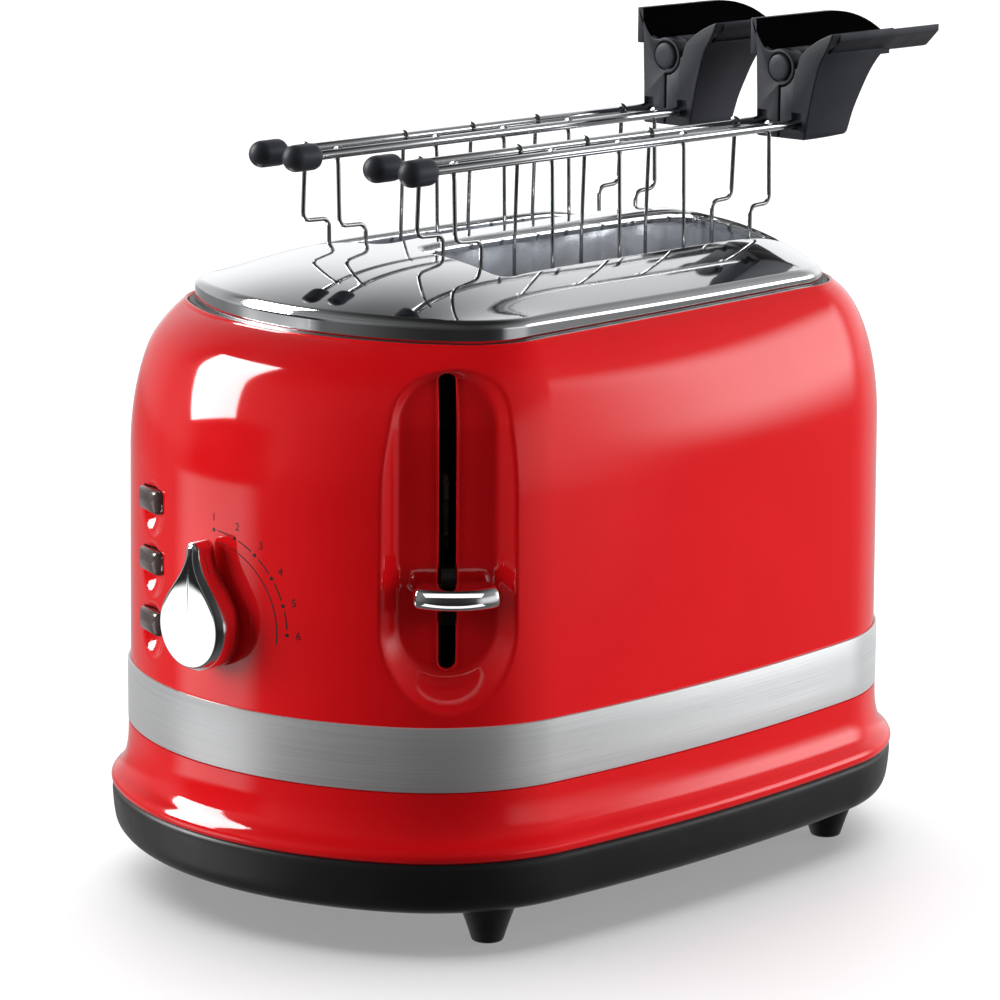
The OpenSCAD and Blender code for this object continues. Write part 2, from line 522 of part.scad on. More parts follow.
// clip that holds a wire on the rail
module clip(x, y) translate([x, y - 0.55, rail_z]) rotate([-90, 0, 0]) difference() {
  cylinder(r = rail_r + 0.8, h = 1.1, $fn = 32);
  translate([0, 0, -1]) cylinder(r = rail_r + 0.02, h = 3, $fn = 32);
}
cage_y = [-66.6, 63.4];
shoulder_y = [-78.4, 73.2];
jog_z = [212.4, 210];
cage_ys = [-33.6, -1.7, 29.8];
module cage(s, d) color(steel) let (x = s * slot_x + d * wire_dx, top = rail_z - rail_r - 0.1) {
  for (i = [0, 1]) {
    upright(x, shoulder_y[i], jog_z[i] - 0.5, top, wire_r);
    upright(x, cage_y[i], cage_z - 0.5, jog_z[i] + 0.5, wire_r);
    lengthwise(x, min(shoulder_y[i], cage_y[i]) - 0.5, max(shoulder_y[i], cage_y[i]) + 0.5, jog_z[i], wire_r - 0.04);
  }
  for (y = cage_ys) upright(x, y, cage_z - 0.4, top, wire_r - 0.06);
  lengthwise(x, cage_y[0] - 0.5, cage_y[1] + 0.5, cage_z, wire_r - 0.04);
  lengthwise(x, cage_y[0] - 0.4, cage_y[1] + 0.4, 135, wire_r - 0.12);
  for (y = concat(shoulder_y, cage_ys)) clip(s * slot_x + d * rail_dx, y);
}
module tong_r_pin() pin(1);
module tong_r_grip_a() grip_a(1);
module tong_r_rail_a() rail(1, 1);
module tong_r_cage_a() cage(1, 1);
module tong_r_cap_a() cap(1, 1);
module tong_r_grip_b() grip_b(1);
module tong_r_rail_b() rail(1, -1);
module tong_r_cage_b() cage(1, -1);
module tong_r_cap_b() cap(1, -1);
module tong_l_pin() pin(-1);
module tong_l_grip_a() grip_a(-1);
module tong_l_rail_a() rail(-1, 1);
module tong_l_cage_a() cage(-1, 1);
module tong_l_cap_a() cap(-1, 1);
module tong_l_grip_b() grip_b(-1);
module tong_l_rail_b() rail(-1, -1);
module tong_l_cage_b() cage(-1, -1);
module tong_l_cap_b() cap(-1, -1);

body_shell();
top_plate();
slot_liner_r();
slot_liner_l();
trim_band();
base();
foot_fr();
foot_fl();
foot_br();
foot_bl();
base_screws();
front_frame();
rear_frame();
reflector_r();
reflector_l();
element_r();
element_c();
element_l();
guide_rod_r();
guide_rod_l();
guard_r_out();
guard_r_in();
guard_l_in();
guard_l_out();
control_board();
solenoid();
timer_pot();
cord_gland();
carriage();
lever_arm();
lever_tab();
lifter_r();
lifter_l();
return_spring();
browning_knob();
knob_shaft();
button_top();
button_mid();
button_low();
crumb_tray();
tong_r_pin();
tong_r_grip_a();
tong_r_rail_a();
tong_r_cage_a();
tong_r_cap_a();
tong_r_grip_b();
tong_r_rail_b();
tong_r_cage_b();
tong_r_cap_b();
tong_l_pin();
tong_l_grip_a();
tong_l_rail_a();
tong_l_cage_a();
tong_l_cap_a();
tong_l_grip_b();
tong_l_rail_b();
tong_l_cage_b();
tong_l_cap_b();
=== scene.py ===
"""Looks of the two-slot toaster with sandwich tongs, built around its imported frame. Lengths are written in millimetres and scaled once, in make()."""
import bpy
import bmesh
import math
import numpy as np
from mathutils import Vector, Matrix
from mathutils.geometry import delaunay_2d_cdt
from mathutils.noise import noise as rough


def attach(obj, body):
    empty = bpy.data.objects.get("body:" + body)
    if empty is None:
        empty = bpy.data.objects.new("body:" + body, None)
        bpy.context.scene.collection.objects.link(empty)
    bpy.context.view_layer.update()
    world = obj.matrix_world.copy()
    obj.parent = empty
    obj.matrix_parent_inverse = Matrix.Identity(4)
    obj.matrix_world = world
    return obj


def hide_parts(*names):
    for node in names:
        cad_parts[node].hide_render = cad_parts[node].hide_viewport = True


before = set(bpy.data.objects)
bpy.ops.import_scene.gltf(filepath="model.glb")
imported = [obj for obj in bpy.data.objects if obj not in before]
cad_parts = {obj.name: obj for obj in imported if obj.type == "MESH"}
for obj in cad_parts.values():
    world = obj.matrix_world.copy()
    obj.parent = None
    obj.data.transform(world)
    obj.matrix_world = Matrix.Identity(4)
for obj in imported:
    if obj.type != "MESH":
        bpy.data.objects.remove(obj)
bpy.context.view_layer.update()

SCENE = bpy.context.scene
COLL = SCENE.collection
BY = -16.4                      # body middle along Y

# ------------------------------------------------------------------ helpers
def link(ob):
    COLL.objects.link(ob)
    return ob


def make(name, verts, faces, material, body, nodes=(), smooth=True, angle=38.0, uv=None):
    """A mesh piece from points in millimetres, riding on a body and standing for the named nodes."""
    me = bpy.data.meshes.new(name)
    me.from_pydata((np.asarray(verts, float) * 0.001).tolist(), [], [tuple(int(i) for i in f) for f in faces])
    me.validate()
    if uv is not None:
        layer = me.uv_layers.new(name="UVMap")
        loops = np.zeros(len(me.loops), np.int32)
        me.loops.foreach_get("vertex_index", loops)
        layer.data.foreach_set("uv", np.asarray(uv, np.float32)[loops].ravel())
    finish_mesh(me, smooth, angle)
    ob = link(bpy.data.objects.new(name, me))
    dress(ob, material, body, nodes)
    return ob


def finish_mesh(me, smooth=True, angle=38.0):
    me.polygons.foreach_set("use_smooth", [smooth] * len(me.polygons))
    if smooth:
        me.set_sharp_from_angle(angle=math.radians(angle))
    me.update()


def dress(ob, material, body, nodes=()):
    ob.data.materials.clear()
    ob.data.materials.append(material)
    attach(ob, body)
    if nodes:
        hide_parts(*nodes)
    return ob


def grid(nr, nc, wrap_rows=False, wrap_cols=True, flip=False):
    r = np.arange(nr if wrap_rows else nr - 1)
    c = np.arange(nc if wrap_cols else nc - 1)
    R, C = np.meshgrid(r, c, indexing="ij")
    R2, C2 = (R + 1) % nr, (C + 1) % nc
    q = np.stack([R * nc + C, R * nc + C2, R2 * nc + C2, R2 * nc + C], -1).reshape(-1, 4)
    return q[:, ::-1] if flip else q


def spline(points, n):
    """Points on a smooth curve through the given ones, spaced evenly along it."""
    p = np.asarray(points, float)
    seg = np.sqrt(np.linalg.norm(np.diff(p, axis=0), axis=1))
    t = np.concatenate([[0], np.cumsum(seg)])
    m = np.zeros_like(p)
    for i in range(1, len(p) - 1):
        a, b = (p[i] - p[i - 1]) / (t[i] - t[i - 1]), (p[i + 1] - p[i]) / (t[i + 1] - t[i])
        m[i] = (a * (t[i + 1] - t[i]) + b * (t[i] - t[i - 1])) / (t[i + 1] - t[i - 1])
    m[0] = (p[1] - p[0]) / (t[1] - t[0])
    m[-1] = (p[-1] - p[-2]) / (t[-1] - t[-2])
    u = np.linspace(0, t[-1], 60 * len(p))
    k = np.clip(np.searchsorted(t, u, side="right") - 1, 0, len(p) - 2)
    h = (t[k + 1] - t[k])[:, None]
    s = ((u - t[k])[:, None]) / h
    q = ((2 * s**3 - 3 * s**2 + 1) * p[k] + (s**3 - 2 * s**2 + s) * h * m[k]
         + (-2 * s**3 + 3 * s**2) * p[k + 1] + (s**3 - s**2) * h * m[k + 1])
    return along(q, n)


def along(q, n):
    """n points spaced evenly along a polyline."""
    q = np.asarray(q, float)
    d = np.concatenate([[0], np.cumsum(np.linalg.norm(np.diff(q, axis=0), axis=1))])
    u = np.linspace(0, d[-1], n)
    return np.stack([np.interp(u, d, q[:, i]) for i in range(q.shape[1])], -1)


def boolean(ob, cutter, operation="DIFFERENCE"):
    """Applies a boolean with a scratch object, which is removed."""
    m = ob.modifiers.new("cut", "BOOLEAN")
    m.operation = operation
    m.solver = "EXACT"
    m.object = cutter
    dg = bpy.context.evaluated_depsgraph_get()
    me = bpy.data.meshes.new_from_object(ob.evaluated_get(dg))
    ob.modifiers.remove(m)
    old = ob.data
    ob.data = me
    bpy.data.meshes.remove(old)
    data = cutter.data
    bpy.data.objects.remove(cutter)
    bpy.data.meshes.remove(data)


def scratch(verts, faces):
    me = bpy.data.meshes.new("scratch")
    me.from_pydata((np.asarray(verts, float) * 0.001).tolist(), [], [tuple(int(i) for i in f) for f in faces])
    me.update()
    return link(bpy.data.objects.new("scratch", me))


def prism(loop, low, high, frame_of):
    """A closed prism: loop is in the plane, low and high along the third axis, frame_of maps (a, b, c) to the row frame."""
    n = len(loop)
    v = [frame_of(a, b, low) for a, b in loop] + [frame_of(a, b, high) for a, b in loop]
    f = [tuple(range(n))[::-1], tuple(range(n, 2 * n))] + [(i, (i + 1) % n, n + (i + 1) % n, n + i) for i in range(n)]
    p = np.array(v, float)
    a, b, c = p[0], p[1], p[2]
    vol = 0.0
    for q in f:
        for i in range(1, len(q) - 1):
            vol += np.dot(p[q[0]], np.cross(p[q[i]], p[q[i + 1]]))
    if vol < 0:
        f = [q[::-1] for q in f]
    return v, f


def lathe(profile, n, place, close=True):
    """Turned solid: profile is (radius, height) from one end of the axis to the other; place maps (x, y, h) to the row frame."""
    v, f = [], []
    rings = []
    for r, h in profile:
        if r < 1e-6:
            rings.append([len(v)])
            v.append(place(0, 0, h))
        else:
            rings.append(list(range(len(v), len(v) + n)))
            for i in range(n):
                a = 2 * math.pi * i / n
                v.append(place(r * math.cos(a), r * math.sin(a), h))
    for A, B in zip(rings, rings[1:]):
        if len(A) == 1 and len(B) > 1:
            f += [(A[0], B[(i + 1) % n], B[i])[::-1] for i in range(n)]
        elif len(B) == 1 and len(A) > 1:
            f += [(A[i], A[(i + 1) % n], B[0]) for i in range(n)]
        elif len(A) > 1:
            f += [(A[i], A[(i + 1) % n], B[(i + 1) % n], B[i]) for i in range(n)]
    if close and len(rings[0]) > 1:
        f.append(tuple(rings[0][::-1]))
    if close and len(rings[-1]) > 1:
        f.append(tuple(rings[-1]))
    return orient(v, f)


def orient(v, f):
    """Faces turned outwards, judged by the signed volume."""
    p = np.array(v, float)
    p = p - p.mean(0)
    vol = 0.0
    for q in f:
        a = p[q[0]]
        for i in range(1, len(q) - 1):
            vol += float(np.dot(a, np.cross(p[q[i]], p[q[i + 1]])))
    return (v, f) if vol >= 0 else (v, [tuple(q[::-1]) for q in f])


def sweep(path, r, n=12, closed=False, caps=True, up=(0, 0, 1)):
    """A round wire along a path."""
    p = np.asarray(path, float)
    m = len(p)
    if closed:
        t = np.roll(p, -1, 0) - np.roll(p, 1, 0)
    else:
        t = np.gradient(p, axis=0)
    t /= np.linalg.norm(t, axis=1)[:, None]
    u = np.array(up, float)
    if abs(np.dot(u, t[0])) > 0.9:
        u = np.array((1.0, 0, 0)) if abs(t[0][0]) < 0.9 else np.array((0, 1.0, 0))
    v = []
    x = u - t[0] * np.dot(u, t[0])
    x /= np.linalg.norm(x)
    for i in range(m):
        x = x - t[i] * np.dot(x, t[i])
        x /= np.linalg.norm(x)
        y = np.cross(t[i], x)
        for k in range(n):
            a = 2 * math.pi * k / n
            v.append(p[i] + r * (math.cos(a) * x + math.sin(a) * y))
    f = [tuple(q) for q in grid(m, n, wrap_rows=closed)]
    if caps and not closed:
        f.append(tuple(range(n))[::-1])
        f.append(tuple(range((m - 1) * n, m * n)))
    return [tuple(a) for a in v], f


def rounded_path(points, radius, steps=7):
    """A path through the points with its corners rounded."""
    p = [np.array(q, float) for q in points]
    out = [p[0]]
    for a, b, c in zip(p, p[1:], p[2:]):
        u, w = a - b, c - b
        lu, lw = np.linalg.norm(u), np.linalg.norm(w)
        u, w = u / lu, w / lw
        half = math.acos(max(-1, min(1, float(np.dot(u, w))))) / 2
        if half > math.pi / 2 - 1e-3:
            out.append(b)
            continue
        d = min(radius / math.tan(half), 0.49 * lu, 0.49 * lw)
        rr = d * math.tan(half)
        bis = (u + w) / np.linalg.norm(u + w)
        ctr = b + bis * (rr / math.sin(half))
        s, e = b + u * d - ctr, b + w * d - ctr
        ang = math.acos(max(-1, min(1, float(np.dot(s, e) / (rr * rr)))))
        for i in range(steps + 1):
            k = i / steps
            out.append(ctr + (math.sin((1 - k) * ang) * s + math.sin(k * ang) * e) / math.sin(ang))
    out.append(p[-1])
    return np.array(out)


def join(parts):
    """One vertex and face list from several."""
    v, f = [], []
    for a, b in parts:
        k = len(v)
        v += [tuple(q) for q in a]
        f += [tuple(int(i) + k for i in q) for q in b]
    return v, f


# ------------------------------------------------------------------ plan outlines
WALL = (90.0, 132.25, 109.3, 645.0, 59.0)
RIM = (73.5, 108.0, 107.0, 4000.0, 28.0)
PLATE = (69.5, 104.0, 103.0, 4000.0, 24.0)
EVEN = ((30, 40, 36),) * 4
FINE = ((30, 40, 36), (30, 40, 36), (30, 44, 70), (44, 84, 70))


def grow(p, d):
    return (p[0] + d, p[1] + d, p[2] + d, p[3] + d, max(p[4] + d, 2.0))


def blend(p, q, w):
    return (p[0] + (q[0] - p[0]) * w, p[1] + (q[1] - p[1]) * w, p[2] + (q[2] - p[2]) * w,
            1 / (1 / p[3] + (1 / q[3] - 1 / p[3]) * w), p[4] + (q[4] - p[4]) * w)


def quarter(p, counts):
    hw, hl, er, sr, cr = p
    x1, y2 = hw - sr, hl - er
    d = math.hypot(x1, y2)
    d1, d2 = sr - cr, er - cr
    m = (d1 * d1 - d2 * d2 + d * d) / (2 * d)
    h = math.sqrt(max(0, d1 * d1 - m * m))
    ux, uy = -x1 / d, y2 / d
    cx, cy = x1 + ux * m - uy * h, uy * m + ux * h
    t1, t2 = math.atan2(cy, cx - x1), math.atan2(cy - y2, cx)
    ns, nc, ne = counts
    a = t1 * np.arange(ns) / ns
    b = t1 + (t2 - t1) * np.arange(nc) / nc
    c = t2 + (math.pi / 2 - t2) * np.arange(ne) / ne
    return np.concatenate([
        np.stack([x1 + sr * np.cos(a), sr * np.sin(a)], -1),
        np.stack([cx + cr * np.cos(b), cy + cr * np.sin(b)], -1),
        np.stack([er * np.cos(c), y2 + er * np.sin(c)], -1), [[0.0, hl]]])


def outline(p, counts=EVEN):
    q1, q2, q3, q4 = (quarter(p, c) for c in counts)
    return np.concatenate([q1[:-1], q2[:0:-1] * (-1, 1), -q3[:-1], q4[:0:-1] * (1, -1)])


def ring(p, z, counts=EVEN):
    o = outline(p, counts)
    return np.column_stack([o[:, 0], o[:, 1] + BY, np.full(len(o), z)])


def smin(a, b, k):
    h = np.clip(0.5 + 0.5 * (b - a) / k, 0, 1)
    return b * (1 - h) + a * h - k * h * (1 - h)


def smax(a, b, k):
    return -smin(-a, -b, k)


# ------------------------------------------------------------------ materials
def new_material(name):
    m = bpy.data.materials.new(name)
    m.use_nodes = True
    t = m.node_tree
    t.nodes.clear()
    out = t.nodes.new("ShaderNodeOutputMaterial")
    b = t.nodes.new("ShaderNodeBsdfPrincipled")
    t.links.new(b.outputs[0], out.inputs[0])
    return m, t, b


def noise(t, scale, detail=4.0, rough=0.55, coord="Object", stretch=None, distortion=0.0):
    tc = t.nodes.new("ShaderNodeTexCoord")
    src = tc.outputs[coord]
    if stretch is not None:
        mp = t.nodes.new("ShaderNodeMapping")
        mp.inputs["Scale"].default_value = stretch
        t.links.new(src, mp.inputs["Vector"])
        src = mp.outputs[0]
    n = t.nodes.new("ShaderNodeTexNoise")
    n.inputs["Scale"].default_value = scale
    n.inputs["Detail"].default_value = detail
    n.inputs["Roughness"].default_value = rough
    n.inputs["Distortion"].default_value = distortion
    t.links.new(src, n.inputs["Vector"])
    return n.outputs["Fac"]


def ramp(t, fac, stops):
    r = t.nodes.new("ShaderNodeValToRGB")
    e = r.color_ramp.elements
    while len(e) < len(stops):
        e.new(0.5)
    for x, (pos, col) in zip(e, stops):
        x.position = pos
        x.color = col if len(col) == 4 else (*col, 1.0)
    t.links.new(fac, r.inputs[0])
    return r.outputs[0]


def spread(t, fac, low, high):
    m = t.nodes.new("ShaderNodeMapRange")
    m.inputs["From Min"].default_value = 0.3
    m.inputs["From Max"].default_value = 0.7
    m.inputs["To Min"].default_value = low
    m.inputs["To Max"].default_value = high
    t.links.new(fac, m.inputs["Value"])
    return m.outputs[0]


def bump(t, b, fac, strength, distance=0.0002):
    n = t.nodes.new("ShaderNodeBump")
    n.inputs["Strength"].default_value = strength
    n.inputs["Distance"].default_value = distance
    t.links.new(fac, n.inputs["Height"])
    t.links.new(n.outputs[0], b.inputs["Normal"])
    return n


def painted(name, dark, light, rough, peel):
    m, t, b = new_material(name)
    t.links.new(ramp(t, noise(t, 22.0, 3.0), [(0.3, dark), (0.7, light)]), b.inputs["Base Color"])
    t.links.new(spread(t, noise(t, 60.0, 5.0), rough * 0.8, rough * 1.25), b.inputs["Roughness"])
    b.inputs["Specular IOR Level"].default_value = 0.5
    bump(t, b, noise(t, 420.0, 2.0), peel, 0.00006)
    return m


def metal(name, dark, light, low, high, scale=90.0, stretch=None, coord="Object", bump_strength=0.0, detail=6.0):
    m, t, b = new_material(name)
    n = noise(t, scale, detail, 0.6, coord, stretch)
    t.links.new(ramp(t, n, [(0.3, dark), (0.7, light)]), b.inputs["Base Color"])
    b.inputs["Metallic"].default_value = 1.0
    t.links.new(spread(t, n, low, high), b.inputs["Roughness"])
    if bump_strength:
        bump(t, b, n, bump_strength, 0.00005)
    return m


def moulded(name, dark, light, low, high, grain=900.0, strength=0.12, shine=0.5):
    m, t, b = new_material(name)
    t.links.new(ramp(t, noise(t, 35.0, 4.0), [(0.3, dark), (0.7, light)]), b.inputs["Base Color"])
    t.links.new(spread(t, noise(t, 120.0, 5.0), low, high), b.inputs["Roughness"])
    b.inputs["Specular IOR Level"].default_value = shine
    bump(t, b, noise(t, grain, 2.0), strength, 0.00008)
    return m


RED = painted("red_enamel", (0.72, 0.0050, 0.0080), (0.77, 0.0065, 0.0100), 0.06, 0.03)
CHROME = metal("chrome", (0.78, 0.79, 0.80), (0.84, 0.85, 0.86), 0.035, 0.075, 26.0, bump_strength=0.02)
BRUSHED = metal("brushed_trim", (0.60, 0.605, 0.61), (0.80, 0.805, 0.81), 0.34, 0.48, 1.0, (14.0, 5200.0, 1.0), "UV", 0.22, 3.0)


def brushed_along(m):
    """Stretches the shine of brushed metal across its grain."""
    t = m.node_tree
    b = next(n for n in t.nodes if n.type == "BSDF_PRINCIPLED")
    b.inputs["Metallic"].default_value = 0.6
    b.inputs["Anisotropic"].default_value = 0.85
    b.inputs["Anisotropic Rotation"].default_value = 0.25
    g = t.nodes.new("ShaderNodeTangent")
    g.direction_type = "UV_MAP"
    g.uv_map = "UVMap"
    t.links.new(g.outputs[0], b.inputs["Tangent"])


brushed_along(BRUSHED)
BASE_BLACK = moulded("black_plastic", (0.010, 0.010, 0.011), (0.014, 0.014, 0.015), 0.34, 0.44, 1400.0, 0.08, 0.35)
GRIP_BLACK = moulded("grip_plastic", (0.020, 0.022, 0.028), (0.030, 0.032, 0.040), 0.40, 0.52, 1600.0, 0.14, 0.22)


def shaded_hollow(m):
    """Darkens the inner face of each grip's wing, which lies in its own shade."""
    t = m.node_tree
    b = next(n for n in t.nodes if n.type == "BSDF_PRINCIPLED")
    at = t.nodes.new("ShaderNodeSeparateXYZ")
    t.links.new(t.nodes.new("ShaderNodeTexCoord").outputs["Object"], at.inputs[0])
    out = t.nodes.new("ShaderNodeSeparateXYZ")
    t.links.new(t.nodes.new("ShaderNodeTexCoord").outputs["Normal"], out.inputs[0])

    def math_node(op, a, *rest):
        n = t.nodes.new("ShaderNodeMath")
        n.operation = op
        t.links.new(a, n.inputs[0])
        for k, x in enumerate(rest):
            if isinstance(x, float):
                n.inputs[k + 1].default_value = x
            else:
                t.links.new(x, n.inputs[k + 1])
        return n.outputs[0]

    near = math_node("ADD", math_node("COMPARE", at.outputs[0], 0.0162, 0.0026), math_node("COMPARE", at.outputs[0], -0.0344, 0.0026))
    near = math_node("MULTIPLY", near, math_node("GREATER_THAN", at.outputs[2], 0.2578))
    near = math_node("MULTIPLY", near, math_node("GREATER_THAN", out.outputs[0], 0.25))
    mix = t.nodes.new("ShaderNodeMix")
    mix.data_type = "RGBA"
    base = b.inputs["Base Color"].links[0].from_socket
    colour = [i for i in mix.inputs if i.type == "RGBA"]
    t.links.new(near, mix.inputs[0])
    t.links.new(base, colour[0])
    colour[1].default_value = (0.0016, 0.0016, 0.0018, 1.0)
    t.links.new([o for o in mix.outputs if o.type == "RGBA"][0], b.inputs["Base Color"])
    shine = b.inputs["Specular IOR Level"].default_value
    t.links.new(math_node("SUBTRACT", math_node("MULTIPLY", near, -shine), -shine), b.inputs["Specular IOR Level"])


shaded_hollow(GRIP_BLACK)
RUBBER = moulded("rubber", (0.008, 0.008, 0.009), (0.013, 0.013, 0.014), 0.36, 0.50, 1100.0, 0.10)
STEEL = metal("steel", (0.56, 0.565, 0.57), (0.68, 0.685, 0.69), 0.16, 0.30, 70.0, (1.0, 1.0, 9.0), bump_strength=0.05)
RAIL = metal("polished_rail", (0.70, 0.71, 0.72), (0.80, 0.81, 0.82), 0.07, 0.14, 120.0, (1.0, 0.06, 1.0), bump_strength=0.03)
WIRE = metal("wire", (0.34, 0.345, 0.35), (0.46, 0.465, 0.47), 0.12, 0.22, 150.0, bump_strength=0.04)
LINER = metal("slot_liner", (0.66, 0.69, 0.74), (0.84, 0.87, 0.92), 0.10, 0.24, 55.0, bump_strength=0.5)
next(n for n in LINER.node_tree.nodes if n.type == "BSDF_PRINCIPLED").inputs["Metallic"].default_value = 0.8
ARM = metal("dark_arm", (0.020, 0.019, 0.018), (0.034, 0.032, 0.031), 0.38, 0.52, 90.0, (1.0, 1.0, 5.0), bump_strength=0.05)
MICA = moulded("mica", (0.20, 0.16, 0.10), (0.32, 0.26, 0.17), 0.45, 0.65, 300.0, 0.2)
BOARD = moulded("board", (0.02, 0.10, 0.05), (0.03, 0.14, 0.07), 0.35, 0.5, 500.0, 0.1)
COIL = metal("coil", (0.36, 0.15, 0.06), (0.52, 0.24, 0.10), 0.25, 0.4, 60.0, (1.0, 1.0, 40.0), bump_strength=0.4)
INK = moulded("dial_ink", (0.010, 0.009, 0.009), (0.016, 0.014, 0.014), 0.32, 0.42, 900.0, 0.05)


def smoky():
    m, t, b = new_material("smoky_plastic")
    t.links.new(ramp(t, noise(t, 160.0, 3.0), [(0.3, (0.060, 0.040, 0.038)), (0.7, (0.085, 0.060, 0.056))]), b.inputs["Base Color"])
    t.links.new(spread(t, noise(t, 300.0, 4.0), 0.10, 0.18), b.inputs["Roughness"])
    b.inputs["Coat Weight"].default_value = 0.5
    b.inputs["Coat Roughness"].default_value = 0.05
    bump(t, b, noise(t, 500.0, 2.0), 0.04, 0.00005)
    return m


SMOKY = smoky()

# ------------------------------------------------------------------ body shell
LEVER_AZ = math.radians(-41.0)
LN = np.array((math.cos(LEVER_AZ), math.sin(LEVER_AZ)))
LT = np.array((-math.sin(LEVER_AZ), math.cos(LEVER_AZ)))
BAY = np.array((71.2, -103.2 + BY))
BTN_AZ = math.radians(-110.6)
BN = np.array((math.cos(BTN_AZ), math.sin(BTN_AZ)))
BT = np.array((-math.sin(BTN_AZ), math.cos(BTN_AZ)))
BTN = np.array((-38.4, -124.2 + BY))
BTN_Z = (129.5, 110.0, 90.5)
DIMPLE_DROP = 3.0


def shoulder(z):
    w = 1.4 * (1 - math.sqrt(max(0, 1 - ((z - 140.0) / 50.0) ** 2)))
    return blend(grow(WALL, -1.5), RIM, w), w


def wall_off(z):
    return np.interp(z, [71.8, 105.0, 140.0], [-1.0, -1.2, -1.5])


BAY_TOP = 163.5


def bay_face():
    """Heights above the bay's upper centre, and how far the plain shell lies out there."""
    z = np.linspace(BAY_TOP, 188.0, 50)
    n = []
    for h in z:
        rel = ring(shoulder(min(h, 188.0))[0], h, FINE)[:, :2] - BAY
        a, t = rel @ LN, rel @ LT
        k = np.where(a > -40)[0]
        k = k[np.argsort(t[k])]
        n.append(np.interp(0.0, t[k], a[k]))
    n = np.array(n) - n[0]
    return z, n, np.concatenate([[0], np.cumsum(np.hypot(np.diff(z), np.diff(n)))])


FACE_Z, FACE_N, FACE_S = bay_face()


def bay_floor(z):
    return -9.0 + 0.85 * np.interp(z, FACE_Z, FACE_N)


def pocket(v, extra=0.0):
    """Presses the lever bay and the button dishes into points of the shell."""
    rel = v[:, :2] - BAY
    n, t, z = rel @ LN, rel @ LT, v[:, 2]
    rho = np.hypot(t, np.maximum(0, np.maximum(101.6 - z, np.interp(z, FACE_Z, FACE_S))))
    floor = bay_floor(z) - extra
    wallp = floor + (rho - 15.0) / 1.15
    deep = smax(floor, wallp, 0.8)
    new = smin(n, deep, 0.8)
    near = (n > -32) & (np.abs(t) < 44)
    shift = np.where(near, np.minimum(new - n, 0), 0)
    v[:, :2] += shift[:, None] * LN
    for zc in BTN_Z:
        rel = v[:, :2] - BTN
        n, t = rel @ BN, rel @ BT
        rho2 = (t * t + (v[:, 2] - zc + DIMPLE_DROP) ** 2) / 9.0**2
        dish = -3.4 * (1 - rho2) - extra
        new = smin(n, dish, 0.45)
        near = (n > -14) & (rho2 < 2.2)
        v[:, :2] += np.where(near, np.minimum(new - n, 0), 0)[:, None] * BN
    return v


def dip(y):
    """How far the rim lies below its height at the back; y is from the body's middle."""
    return 1.6 * np.clip((60.0 - y) / 120.0, 0, 1) + 0.9 * np.clip((-60.0 - y) / 35.0, 0, 1)


def shell_mesh():
    rows = []
    skirt = spline([(30.4, 4.6), (31.0, 5.25), (31.9, 5.6), (32.9, 5.62), (33.8, 5.3), (34.6, 4.75), (35.4, 3.95), (36.4, 2.85),
                    (37.8, 1.85), (39.8, 1.05), (42.5, 0.45), (46.0, 0.05), (51.2, -0.1)], 40)
    for z, o in skirt:
        rows.append(ring(grow(WALL, o), z, FINE))
    rows.append(ring(grow(WALL, -1.0), 51.4, FINE))
    for z in np.concatenate([np.linspace(71.2, 140, 66)]):
        rows.append(pocket(ring(grow(WALL, wall_off(z)), z, FINE)))
    for a in np.linspace(0, math.asin(0.96), 52)[1:]:
        z = 140 + 50 * math.sin(a)
        rows.append(pocket(ring(shoulder(z)[0], z, FINE)))
    for z, o in ((188.42, -0.34), (188.70, -0.72), (188.78, -1.05), (188.68, -1.38), (188.40, -1.64), (187.9, -1.80), (187.2, -1.88), (186.0, -1.9),
                 (186.0, -6.0), (184.9, -6.0)):
        rows.append(ring(grow(RIM, o), z, FINE))
    for a in np.linspace(0, math.asin(0.93), 30)[::-1]:
        z = 140 + 50 * math.sin(a)
        s, w = shoulder(z)
        rows.append(pocket(ring(grow(s, -1.6 + 0.6 * w), z - 1.7 * w, FINE), 1.9))
    for z in np.linspace(136, 74, 30):
        rows.append(pocket(ring(grow(WALL, wall_off(z) - 1.6), z, FINE), 1.9))
    for z, o in ((60, -2.6), (48, -2.6), (41, -2.4), (38, -0.8), (36, 0.9), (33, 2.5), (30.4, 2.9)):
        rows.append(ring(grow(WALL, o), z, FINE))
    nc = len(rows[0])
    v = np.concatenate(rows)
    w = np.clip((v[:, 2] - 172.0) / 15.0, 0, 1)
    v[:, 2] -= w * w * (3 - 2 * w) * dip(v[:, 1] - BY)
    return v, grid(len(rows), nc, wrap_rows=True)


def stadium(half_w, z0, z1, n=14):
    pts = [(half_w * math.cos(a), z1 - half_w + half_w * math.sin(a)) for a in np.linspace(0, math.pi, n)]
    return pts + [(half_w * math.cos(a), z0 + half_w + half_w * math.sin(a)) for a in np.linspace(math.pi, 2 * math.pi, n)]


def round_rect(w, h, r, n=6):
    pts = []
    for cx, cy, a0 in ((w / 2 - r, h / 2 - r, 0), (-w / 2 + r, h / 2 - r, 90), (-w / 2 + r, -h / 2 + r, 180), (w / 2 - r, -h / 2 + r, 270)):
        for i in range(n + 1):
            a = math.radians(a0 + 90 * i / n)
            pts.append((cx + r * math.cos(a), cy + r * math.sin(a)))
    return pts


def at_bay(t, z, n):
    p = BAY + LN * n + LT * t
    return (p[0], p[1], z)


def at_button(t, z, n):
    p = BTN + BN * n + BT * t
    return (p[0], p[1], z)


